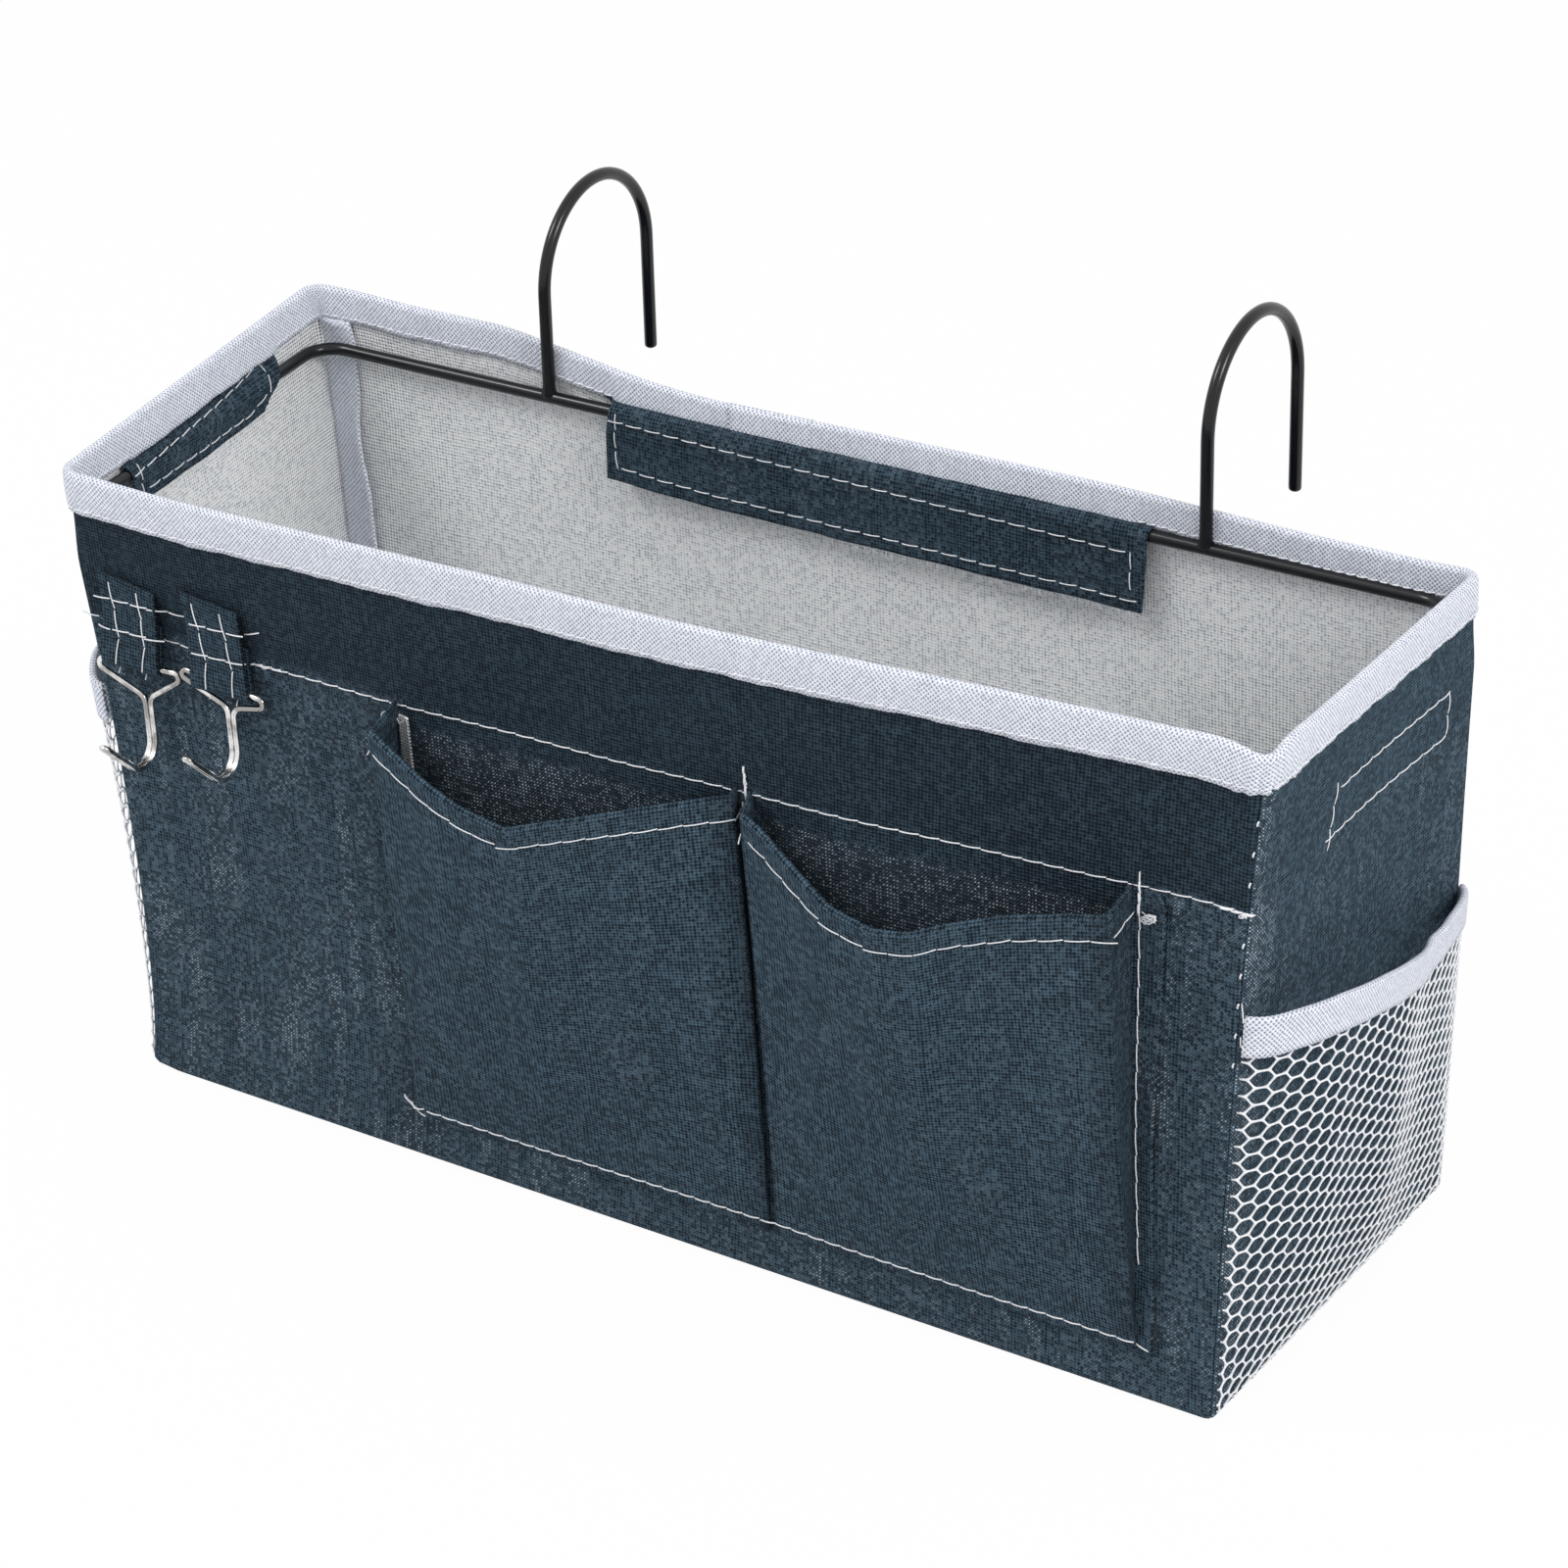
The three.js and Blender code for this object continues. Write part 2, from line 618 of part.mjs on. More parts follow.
const netLength = HEIGHT - (NET_FRONT_DROP + NET_REAR_DROP) / 2 - NET_FOOT;
const netInside = NET_THREAD / 2 + 2 * GAP;
const netOutside = netInside + BINDING_TAPE;
const mouthFoot = 1 - NET_BINDING_DROP / netLength;
const mouthEdge = 1 + GAP / netLength;
const mouthTop = mouthEdge + BINDING_TAPE / netLength;
const mouthOutline = [
  [netOutside, mouthFoot], [netOutside, mouthEdge], [netInside, mouthTop],
  [-netInside, mouthTop], [-netOutside, mouthEdge], [-netOutside, mouthFoot],
  [-netInside, mouthFoot], [-netInside, mouthEdge], [netInside, mouthEdge], [netInside, mouthFoot],
];
for (const side of ['left', 'right']) {
  const surface = netSurface(WALLS[side]);
  const [points, triangles] = netMesh();
  add(`mesh_pocket_${side}`, sheet(points, triangles, bothFaces(surface, () => NET_THREAD)), tape);
  const placings = evenShares(2 * NET_COLUMNS).map((u) => (out, v) => {
    const face = bothFaces(surface, () => 2 * Math.abs(out));
    return face(u, v, out > 0 ? 1 : 0);
  });
  add(`mesh_binding_${side}`, sweep(mouthOutline, placings), tape);
}

export default caddy;
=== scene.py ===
import math

import bmesh
import bpy
import numpy as np
from mathutils import Matrix, Vector
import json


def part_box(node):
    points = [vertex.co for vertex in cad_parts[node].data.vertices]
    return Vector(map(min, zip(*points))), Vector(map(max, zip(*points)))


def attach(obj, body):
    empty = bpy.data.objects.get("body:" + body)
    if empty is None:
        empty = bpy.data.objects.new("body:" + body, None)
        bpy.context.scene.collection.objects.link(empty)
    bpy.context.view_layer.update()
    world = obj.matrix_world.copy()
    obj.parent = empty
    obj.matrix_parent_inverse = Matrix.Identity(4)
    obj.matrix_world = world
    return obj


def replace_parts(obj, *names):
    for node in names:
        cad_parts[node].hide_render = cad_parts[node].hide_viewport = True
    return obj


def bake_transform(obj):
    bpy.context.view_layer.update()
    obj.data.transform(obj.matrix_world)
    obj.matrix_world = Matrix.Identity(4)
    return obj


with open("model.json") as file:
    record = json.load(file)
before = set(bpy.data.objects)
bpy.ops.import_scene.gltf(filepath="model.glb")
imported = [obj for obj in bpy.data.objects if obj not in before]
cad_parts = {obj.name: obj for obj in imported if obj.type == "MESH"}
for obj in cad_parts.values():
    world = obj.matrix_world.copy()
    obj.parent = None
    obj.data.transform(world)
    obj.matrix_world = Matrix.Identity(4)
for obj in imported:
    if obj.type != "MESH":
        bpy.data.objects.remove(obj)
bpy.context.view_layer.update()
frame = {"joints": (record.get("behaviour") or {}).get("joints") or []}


# Camera
# It stands in front of the pocket side, a third of the way round to the right-hand end and above
# the rim, with a long lens, and it is tipped by a degree and a half.
MM = 0.001
AZIMUTH = math.radians(32.163)
ELEVATION = math.radians(28.112)
TIP = math.radians(-1.595)
DISTANCE = 1474.54 * MM
AIM_HEIGHT, AIM_RIGHT, AIM_UP = 100 * MM, 6.89 * MM, 12.8 * MM
SENSOR = 36
LENS_SHARE = 3.29817

toward = Vector((
    math.sin(AZIMUTH) * math.cos(ELEVATION),
    -math.cos(AZIMUTH) * math.cos(ELEVATION),
    math.sin(ELEVATION),
))
level = Vector((math.cos(AZIMUTH), math.sin(AZIMUTH), 0))
upright = toward.cross(level)
picture_right = math.cos(TIP) * level + math.sin(TIP) * upright
picture_up = math.cos(TIP) * upright - math.sin(TIP) * level
aim = Vector((0, 0, AIM_HEIGHT)) + AIM_RIGHT * picture_right + AIM_UP * picture_up

camera = bpy.data.objects.new("camera", bpy.data.cameras.new("camera"))
camera.data.sensor_width = SENSOR
camera.data.lens = SENSOR * LENS_SHARE
camera.matrix_world = (
    Matrix.Translation(aim + DISTANCE * toward)
    @ Matrix((picture_right, picture_up, toward)).transposed().to_4x4()
)
bpy.context.scene.collection.objects.link(camera)
bpy.context.scene.camera = camera
bpy.context.scene.view_settings.view_transform = "Standard"


# Floor, backdrop and light
# A plain pale floor and a white surround. Two wide soft lamps hang above the pocket side and above
# the right-hand end, and the white surround fills the shadows.
FLOOR_SIZE = 8
FLOOR_DROP = 0.5 * MM
SURROUND_LIGHT = 0.66
FLOOR_GLOW_SHARE = 0.97
SHOWN_WHITE = ("Is Glossy Ray", "Is Transmission Ray")
LAMPS = {"lamp_left": (-1.1, -0.9, 1.7), "lamp_right": (1.5, -0.3, 1.3)}
LAMP_AIM = Vector((0, 0, 0.1))
LAMP_SIZE, LAMP_POWER = 0.6, 15


class Value:
    """A number that comes out of a node. It takes part in sums like any other number."""
    def __init__(self, nodes, socket):
        self.nodes = nodes
        self.socket = socket

    def maths(self, operation, *others):
        return self.nodes.number("ShaderNodeMath", {"operation": operation}, [self, *others])

    def __add__(self, other):
        return self.maths("ADD", other)

    def __mul__(self, other):
        return self.maths("MULTIPLY", other)

    def __sub__(self, other):
        return self.maths("SUBTRACT", other)

    def __rsub__(self, other):
        return self * -1 + other

    def __truediv__(self, other):
        return self.maths("DIVIDE", other)

    def __rtruediv__(self, other):
        return self.nodes.number("ShaderNodeMath", {"operation": "DIVIDE"}, [other, self])

    def __pow__(self, other):
        return self.maths("POWER", other)

    __radd__ = __add__
    __rmul__ = __mul__

    def ramp(self, low, high, start=0.0, end=1.0):
        settings = {"clamp": True, "interpolation_type": "SMOOTHSTEP"}
        return self.nodes.number("ShaderNodeMapRange", settings, [self, low, high, start, end])


class Nodes:
    """A tree of nodes. Each node is added by its type, its settings and its inputs."""
    def __init__(self, tree):
        self.tree = tree

    def feed(self, socket, value):
        if isinstance(value, Value):
            value = value.socket
        if isinstance(value, bpy.types.NodeSocket):
            self.tree.links.new(value, socket)
        else:
            socket.default_value = value

    def add(self, kind, settings=(), inputs=()):
        """Adds a node, and gives its outputs."""
        node = self.tree.nodes.new(kind)
        for name, value in dict(settings).items():
            setattr(node, name, value)
        for key, value in inputs.items() if isinstance(inputs, dict) else enumerate(inputs):
            self.feed(node.inputs[key], value)
        return node.outputs

    def number(self, kind, settings=(), inputs=(), output=0):
        return Value(self, self.add(kind, settings, inputs)[output])

    def split(self, vector):
        return [Value(self, part) for part in self.add("ShaderNodeSeparateXYZ", {}, [vector])]

    def join(self, *parts):
        return self.add("ShaderNodeCombineXYZ", {}, parts)[0]


class Finish(Nodes):
    """One Principled shader, with fixed values and with whatever nodes are fed into it."""
    def __init__(self, name, **fixed):
        self.material = bpy.data.materials.new(name)
        self.material.use_nodes = True
        super().__init__(self.material.node_tree)
        self.shader = self.tree.nodes["Principled BSDF"]
        for socket, value in fixed.items():
            self.shader.inputs[socket.replace("_", " ")].default_value = value

    def noise(self, vector, scale, detail=2.0, roughness=0.5):
        inputs = {"Vector": vector, "Scale": scale, "Detail": detail, "Roughness": roughness}
        return self.number("ShaderNodeTexNoise", {}, inputs)

    def noise_in_space(self, scale):
        return self.noise(self.add("ShaderNodeTexCoord")["Object"], scale)

    def blend(self, share, first, second):
        return self.add("ShaderNodeMix", {"data_type": "RGBA"}, {0: share, 6: first, 7: second})[2]

    def colour(self, value):
        self.feed(self.shader.inputs["Base Color"], value)

    def relief(self, height, depth, strength=1.0):
        inputs = {"Height": height, "Distance": depth, "Strength": strength}
        self.feed(self.shader.inputs["Normal"], self.add("ShaderNodeBump", {}, inputs)[0])


def shown_white(nodes):
    """1 for a ray that sees the floor and the surround as plain white, 0 for one that they light."""
    rays = nodes.add("ShaderNodeLightPath")
    shown = Value(nodes, rays["Is Camera Ray"])
    for ray in SHOWN_WHITE:
        shown = shown.maths("MAXIMUM", rays[ray])
    return shown


floor_mesh = bpy.data.meshes.new("floor")
floor_mesh.from_pydata(
    [(x * FLOOR_SIZE / 2, y * FLOOR_SIZE / 2, 0) for x, y in ((-1, -1), (1, -1), (1, 1), (-1, 1))],
    [],
    [(0, 1, 2, 3)],
)
floor = bpy.data.objects.new("floor", floor_mesh)
floor.location.z = -FLOOR_DROP
bpy.context.scene.collection.objects.link(floor)

paper = Finish("floor_paper", Base_Color=(0.8, 0.8, 0.8, 1), Roughness=0.9)
glow = paper.add("ShaderNodeEmission", {}, {"Color": (1, 1, 1, 1), "Strength": 1.0})[0]
glow_share = shown_white(paper) * FLOOR_GLOW_SHARE
mixed = paper.add("ShaderNodeMixShader", {}, [glow_share, paper.shader.outputs[0], glow])[0]
paper.feed(paper.tree.nodes["Material Output"].inputs["Surface"], mixed)
floor_mesh.materials.append(paper.material)

world = bpy.data.worlds.new("surround")
bpy.context.scene.world = world
world.use_nodes = True
sky = Nodes(world.node_tree)
level_range = {"To Min": SURROUND_LIGHT, "Value": shown_white(sky)}
backdrop = sky.tree.nodes["Background"].inputs
sky.feed(backdrop["Color"], (1, 1, 1, 1))
sky.feed(backdrop["Strength"], sky.add("ShaderNodeMapRange", {}, level_range)[0])

for name, place in LAMPS.items():
    light = bpy.data.lights.new(name, "AREA")
    light.size, light.energy = LAMP_SIZE, LAMP_POWER
    holder = bpy.data.objects.new(name, light)
    holder.location = place
    holder.rotation_euler = (LAMP_AIM - Vector(place)).to_track_quat("-Z", "Y").to_euler()
    bpy.context.scene.collection.objects.link(holder)


# The lie of the cloth
# The box is soft canvas that hangs on a wire ring, so its corners lean, its front bows out and its
# back rim sinks. settle() takes points of the straight box to where the cloth really lies.
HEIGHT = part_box("rim_binding")[1].z
HALF_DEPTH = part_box("base_panel")[1].y
HALF_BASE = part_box("base_panel")[1].x
END_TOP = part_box("right_end_panel")[1]
TAPER = (END_TOP.x - HALF_BASE) / END_TOP.z
FRONT_BOW = 5 * MM
FRONT_WAVE = 0.8 * MM
END_WAVE = 0.9 * MM
# Millimetres that each corner moves along X and Y at its foot, at mid height and at the rim, and
# that its rim moves up
LEAN = {
    (-1, -1): ((-0.6, 6.7), (6.0, 2.0), (0.6, -0.2), -3.9),
    (1, -1): ((1.4, -2.8), (0, 0), (4.1, 1.8), -0.3),
    (-1, 1): ((0, 0), (-5.0, 0), (-8.5, -0.6), 1.9),
    (1, 1): ((5.0, -4.2), (1.2, 0), (1.0, -2.7), -5.0),
}
# Shares of the way from end to end, and millimetres that the rim stands up or sinks there
FRONT_RIM = (
    (-1, -0.8, -0.45, -0.2, 0.1, 0.5, 0.75, 0.93, 1),
    (-0.5, -1.9, -0.4, 0.6, 0.3, 1.4, 1.7, 1.6, 0.6),
)
BACK_RIM = (
    (-1, -0.93, -0.8, -0.63, -0.5, -0.38, -0.27, -0.15, 0, 0.24, 0.44, 0.73, 0.91, 1),
    (-0.3, 0.6, 0.2, 1.2, -2.0, -5.2, -6.2, -5.5, -4.2, -2.5, -1.5, -1.8, -1.2, 0),
)
RIM_SMOOTHING = np.linspace(-0.035, 0.035, 7)
RIM_MOVES_FROM, RIM_MOVES_OVER = 0.6, 0.35
BELLY_HEIGHT = 0.73
FOOT_CORNER = 5 * MM
FOOT_CORNER_REACH = 11 * MM


def half_length(height):
    """Half the length of the straight box at a height. It grows towards the rim."""
    return HALF_BASE + TAPER * height


def eased(share):
    """A share from 0 to 1 that leaves 0 and reaches 1 softly."""
    share = np.clip(share, 0, 1)
    return share * share * (3 - 2 * share)


def rim_line(along, table):
    """How far the rim stands up or sinks, read from a table and smoothed."""
    return np.mean([np.interp(along + step, *table) for step in RIM_SMOOTHING], axis=0) * MM


def settle(points):
    """Points of the straight box, moved to where the cloth lies."""
    points = np.array(points, float)
    x, y, z = np.moveaxis(points, -1, 0)
    along = np.clip(x / half_length(z), -1, 1)
    across = np.clip(y / HALF_DEPTH, -1, 1)
    up = np.clip(z / HEIGHT, 0, 1)
    lift = eased((up - RIM_MOVES_FROM) / RIM_MOVES_OVER)
    weights = ((1 - up) ** 2, np.sin(np.pi * up ** BELLY_HEIGHT), up ** 5)
    for (end, face), (*offsets, rise) in LEAN.items():
        share = (1 + end * along) / 2 * (1 + face * across) / 2
        for weight, offset in zip(weights, offsets):
            points[..., 0] += share * weight * offset[0] * MM
            points[..., 1] += share * weight * offset[1] * MM
        points[..., 2] += share * lift * rise * MM
    sides = ((half_length(z), x), (HALF_DEPTH, y))
    beyond = [1 - (half - np.abs(at)) / FOOT_CORNER_REACH for half, at in sides]
    soft = eased(beyond[0]) * eased(beyond[1]) * (along < 0)
    points[..., 2] += FOOT_CORNER * soft * eased(1 - z / (2 * FOOT_CORNER_REACH))
    front = (1 - across) / 2
    points[..., 1] -= front ** 2 * FRONT_BOW * (1 - along ** 2) ** 2 * up
    points[..., 2] += lift * (front * rim_line(along, FRONT_RIM) + (1 - front) * rim_line(along, BACK_RIM))
    inner = np.sin(np.pi * up)
    ripple = np.sin(37 * x + 1.1) * (1 - along ** 6) + 0.5 * np.sin(88 * x + 31 * z)
    points[..., 1] += (2 * front - 1) * FRONT_WAVE * inner * ripple
    ripple = np.sin(52 * y + 24 * z + 0.6) * (1 - across ** 4)
    hollow = 1.4 * (1 - across ** 2) * eased((up - 0.5) / 0.3)
    points[..., 0] += np.sign(along) * END_WAVE * inner * along ** 6 * (ripple - hollow)
    return points


WALLS = {"front": (0, -1), "right": (1, 0), "back": (0, 1), "left": (-1, 0)}


def straight_wall(side, along, height, out):
    """Points of the straight box: a distance along a wall from its middle, seen from outside."""
    across, facing = WALLS[side]
    along, height, out = np.broadcast_arrays(along, height, out)
    if across:
        reach = half_length(height) + out
        return np.stack([across * reach, across * along, height], -1)
    return np.stack([-facing * along, facing * (HALF_DEPTH + out), height], -1)


def on_wall(side, along, height, out):
    return settle(straight_wall(side, along, height, out))


def piece(name, points, faces, finish, body, slot, edges=()):
    mesh = bpy.data.meshes.new(name)
    mesh.from_pydata(np.asarray(points, float).tolist(), edges, faces)
    if faces:
        mesh.shade_smooth()
    mesh.materials.append(finish.material)
    made = bpy.data.objects.new(name, mesh)
    bpy.context.scene.collection.objects.link(made)
    made["rides"], made["slot"] = body or "", slot
    return made


def quads(index):
    """The four corners of each face of a grid, from the numbers of the grid's points."""
    corners = (index[:-1, :-1], index[:-1, 1:], index[1:, 1:], index[1:, :-1])
    return np.stack(corners, -1).reshape(-1, 4)


def grid_piece(name, points, index, flat, finish, body, slot):
    """A grid of points as a mesh, with its flat measures as the UV map, in metres."""
    made = piece(name, points, quads(index).tolist(), finish, body, slot)
    corners = quads(np.arange(index.size).reshape(index.shape)).ravel()
    measures = flat.reshape(-1, 2)[corners].astype(np.float32)
    made.data.uv_layers.new(name="flat").data.foreach_set("uv", measures.ravel())
    return made


def baked(made):
    """Turns the modifiers into a plain mesh, and fastens the piece to its body."""
    bpy.context.view_layer.update()
    shape = made.evaluated_get(bpy.context.evaluated_depsgraph_get())
    mesh = bpy.data.meshes.new_from_object(shape)
    made.modifiers.clear()
    made.data = mesh
    if made["rides"]:
        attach(made, made["rides"])
    return made


def cloth(name, rows, flat, thickness, finish, body, slot, ring=False, side_out=-1, **shares):
    """A sheet of cloth from rows of points and their flat measures.
    Each share, such as sheer or dark, is a number from 0 to 1 at every point."""
    rows, flat = np.asarray(rows), np.asarray(flat)
    count, width = rows.shape[:2]
    index = np.arange(count * width).reshape(count, width)
    if ring:
        index = np.concatenate([index, index[:, :1]], axis=1)
        last = flat[:, -1:] + (flat[:, -1:] - flat[:, -2:-1]) * (1, 0)
        flat = np.concatenate([flat, last], axis=1)
    made = grid_piece(name, rows.reshape(-1, 3), index, flat, finish, body, slot)
    for share_name, share in shares.items():
        share = np.broadcast_to(share, (count, width)).astype(np.float32).ravel()
        made.data.attributes.new(share_name, "FLOAT", "POINT").data.foreach_set("value", share)
    wall = made.modifiers.new("thickness", "SOLIDIFY")
    wall.thickness = thickness
    wall.offset = side_out
    return baked(made)


# Canvas
# Matt navy canvas in a plain weave of uneven threads, a thread and its gap to the millimetre. In
# single cloth the pale lining shows through the gaps as light specks, in doubled cloth it doesn't.
THREAD_PITCH = 1.05 * MM


class Weave:
    """A plain weave over a piece's flat measures: where threads stand up, gape, cross and vary."""
    def __init__(self, finish, pitch, slub=0.35):
        self.place = finish.add("ShaderNodeUVMap", {"uv_map": "flat"})[0]
        sway = finish.noise(self.place, 60, 2.0)
        self.u, self.v, _ = finish.split(self.place)
        u = self.u / pitch + sway * 0.9
        v = self.v / pitch + sway * 0.9
        across = (u * math.pi).maths("SINE")
        along = (v * math.pi).maths("SINE")
        self.crossing = across * along
        over = (self.crossing * 1.6).ramp(-0.8, 0.8)
        warp = across.maths("ABSOLUTE")
        weft = along.maths("ABSOLUTE")
        warp_tone = finish.noise(finish.join(u.maths("FLOOR") * 3.1, v * 0.09, 0), 1.0, 2.0)
        weft_tone = finish.noise(finish.join(u * 0.09, v.maths("FLOOR") * 3.7, 5), 1.0, 2.0)
        height = warp * over * (1 - slub + warp_tone * slub * 2)
        self.height = height.maths("MAXIMUM", weft * (1 - over) * (1 - slub + weft_tone * slub * 2))
        self.gap = (1 - warp) * (1 - weft)
        self.tone = (warp_tone * over + weft_tone * (1 - over)).ramp(0.3, 0.7)
        spot = finish.join((u + 0.5).maths("FLOOR"), (v + 0.5).maths("FLOOR"), 0)
        settings = {"noise_dimensions": "2D"}
        self.cell = finish.number("ShaderNodeTexWhiteNoise", settings, {"Vector": spot})


def share_of(finish, name):
    """A cloth's share by its name, as a number for its finish."""
    return finish.number("ShaderNodeAttribute", {"attribute_name": name}, output="Fac")


canvas = Finish("navy_canvas", Roughness=0.95, Specular_IOR_Level=0.18)
weave = Weave(canvas, THREAD_PITCH)
patches = canvas.noise(weave.place, 28, 3.0, 0.6).ramp(0.42, 0.68)
stripes = canvas.noise(canvas.join(weave.u * 220, weave.v * 14, 2), 1.0, 1.0).ramp(0.35, 0.65)
worn = canvas.noise(weave.place, 9, 3.0, 0.6).ramp(0.3, 0.7)
glints = (weave.cell.ramp(0.75, 1.0) * weave.height.ramp(0.4, 0.9)) * 0.35
# The threads' own tone, with painted shade in the hollows of the weave, from deepest to palest navy
shade = weave.height.ramp(0.1, 0.95) * 0.85 + weave.tone * 0.2 + weave.cell * 0.55 + worn * 0.12 - 0.46
tone = canvas.blend(shade, (0.003, 0.007, 0.013, 1), (0.070, 0.121, 0.168, 1))
tone = canvas.blend(glints, tone, (0.15, 0.24, 0.31, 1))
# Each piece's share darkens doubled canvas, and paints shade into pocket mouths and onto gussets
tone = canvas.blend(share_of(canvas, "dark") * 0.55, tone, (0.003, 0.006, 0.010, 1))
sheer = share_of(canvas, "sheer")
plenty = sheer.ramp(0.6, 1.0)
spread = (patches * 0.75 + 0.25) * stripes
spread = spread + (1 - spread) * plenty * 0.4
speck = weave.gap.ramp(0.2, 0.55) * (weave.cell.ramp(0.2, 0.9) * 0.85 + 0.15) * spread * sheer * 1.3
canvas.colour(canvas.blend(speck, tone, (0.80, 0.84, 0.90, 1)))
canvas.relief(weave.height, 0.3 * MM, 1.0)

lining = Finish("pale_lining", Roughness=0.5, Specular_IOR_Level=0.6)
weave = Weave(lining, THREAD_PITCH)
# The threads' own tone, with painted shade in the hollows of the weave
grain_and_painted_shade = weave.height.ramp(0.1, 0.7) * 0.8 + weave.tone * 0.15 + weave.cell * 0.6 - 0.12
ground = lining.blend(grain_and_painted_shade, (0.34, 0.37, 0.44, 1), (0.99, 1.0, 1.0, 1))
streaks = lining.noise(lining.join(weave.u * 700, weave.v * 40, 3), 1.0, 2.0).ramp(0.3, 0.7)
# Painted white sparkle in the gaps, along the streaks of the weave
bright = weave.gap.ramp(0.15, 0.6) * weave.cell.ramp(0.3, 0.9) * streaks
ground = lining.blend(bright, ground, (1.0, 1.0, 1.0, 1))
open_weave = weave.gap.ramp(0.1, 0.4) * share_of(lining, "sheer")
lining.colour(lining.blend(open_weave, ground, (0.10, 0.10, 0.095, 1)))
lining.relief(weave.height, 0.25 * MM, 0.9)


# Panels
# Five panels of navy canvas on a pale lining. The front, base and back are one run of cloth folded
# at the foot, and the two ends are sewn to it, so the edges are tight folds and seams.
CANVAS = 0.8 * MM
LINING = 0.5 * MM
LINING_INSET = 1.0 * MM
EDGE_RADIUS = 2.2 * MM
RIM_CORNER = 6.0 * MM
ROUND_FROM, ROUND_TO = 172 * MM, 192 * MM
FOOT_RADIUS = 2.6 * MM
SEAM_GAP = 0.28 * MM
PANEL_TOP = HEIGHT - 2.5 * MM
PANEL_STEPS = {"front": 190, "back": 190, "left": 70, "right": 70}
SHARE_EDGE = 2 * MM
DOUBLE_FROM = 157 * MM
PLAIN_BELOW_ROW = 9 * MM
INSIDE_POCKETS = ((-75 * MM, 38 * MM), (42 * MM, 157 * MM))
POCKETS_OPEN_FROM = 118 * MM
SEAM_STRIP, SEAM_STRIP_EDGE = 17 * MM, 3 * MM
SEAM_BAND, SEAM_BAND_EDGE = 7 * MM, 1.5 * MM
# Where painted shade lies next to the left pocket's edge along the front, and how far it reaches
POCKET_SHADE = (-82 * MM, 11 * MM)
OPEN_CORNER = 75 * MM
LINING_OPEN = (60 * MM, 190 * MM)
BASE_STEPS = (90, 36)
BASE_HEIGHT = 1.0 * MM
BASE_LINING_HEIGHT = 1.7 * MM
# For each end wall, on which side of its middle the front wall is
TO_FRONT = {"left": 1, "right": -1}


def panel_stations(straight_steps, half_turn_steps=4):
    """Shares of the straight run of a wall, with the turns at which its ends curve in."""
    turns = np.linspace(0, np.pi / 4, half_turn_steps + 1)[1:]
    middle = np.linspace(-1, 1, straight_steps + 1)
    shares = np.concatenate([-np.ones(len(turns)), middle, np.ones(len(turns))])
    angles = np.concatenate([turns[::-1], np.zeros(len(middle)), turns])
    return shares, angles


def panel_rows(side, inset, top, straight_steps, rise_steps=76):
    """Rows of a wall panel, its flat measures, and the places along and up the straight wall."""
    shares, angles = panel_stations(straight_steps)
    foot = np.linspace(0, np.pi / 2, 5)
    lower = FOOT_RADIUS
    heights = np.concatenate([lower * (1 - np.cos(foot)), np.linspace(lower, top, rise_steps)[1:]])
    tucks = np.concatenate([-lower * (1 - np.sin(foot)), np.zeros(rise_steps - 1)])
    rise = np.concatenate([lower * foot, lower * np.pi / 2 + np.linspace(0, top - lower, rise_steps)[1:]])
    heights = (heights + (inset if inset else SEAM_GAP))[:, None]
    tucks = tucks[:, None]
    rounding = eased((heights - ROUND_FROM) / (ROUND_TO - ROUND_FROM))
    radius = EDGE_RADIUS + (RIM_CORNER - EDGE_RADIUS) * rounding
    half = HALF_DEPTH if WALLS[side][0] else half_length(heights)
    reach = half - inset - radius + tucks * (np.abs(shares) > 0.999)
    along = shares * reach + np.sign(shares) * (radius - SEAM_GAP) * np.sin(angles)
    out = tucks - inset - radius * (1 - np.cos(angles))
    heights = np.broadcast_to(heights, along.shape)
    rows = on_wall(side, along, heights, out)
    flat = np.stack([along, np.broadcast_to(rise[:, None], along.shape)], -1)
    return rows, flat, along, heights


def bump(distance, width):
    """A soft hump: 1 at no distance, and almost nothing beyond twice its width."""
    return np.exp(-(distance / width) ** 2)


def canvas_shares(side, along, heights):
    """How much the lining shows through, and how much the cloth is darkened: where it lies double, and by
    painted shade.
    """
    single = 1 - eased((heights - DOUBLE_FROM) / SHARE_EDGE + 0.5)
    if side == "back":
        return 0.4 * single, np.zeros(along.shape)
    if side != "front":
        from_front = HALF_DEPTH - TO_FRONT[side] * along
        strip = eased((SEAM_STRIP - from_front) / SEAM_STRIP_EDGE)
        band = eased((SEAM_BAND - from_front) / SEAM_BAND_EDGE)
        return 0.4 * single + 0.5 * strip + 0.5 * band, np.zeros(along.shape)
    inside = sum(
        eased((along - low) / SHARE_EDGE) * eased((high - along) / SHARE_EDGE)
        for low, high in INSIDE_POCKETS
    )
    opening = inside * eased((heights - POCKETS_OPEN_FROM) / (6 * MM))
    plain = opening * eased((heights - DOUBLE_FROM + PLAIN_BELOW_ROW) / SHARE_EDGE)
    sheer = single * (0.7 + 0.3 * opening) * (1 - plain)
    # Painted shade on the wall next to the left pocket's edge
    shade_next_to_pocket = bump(along - POCKET_SHADE[0], POCKET_SHADE[1]) * single
    # The second share darkens doubled cloth, and paints shade inside the pocket mouths and next to the
    # pocket
    return sheer, np.maximum(np.maximum(1 - single, opening * 0.75), 0.06 + shade_next_to_pocket * 0.5)


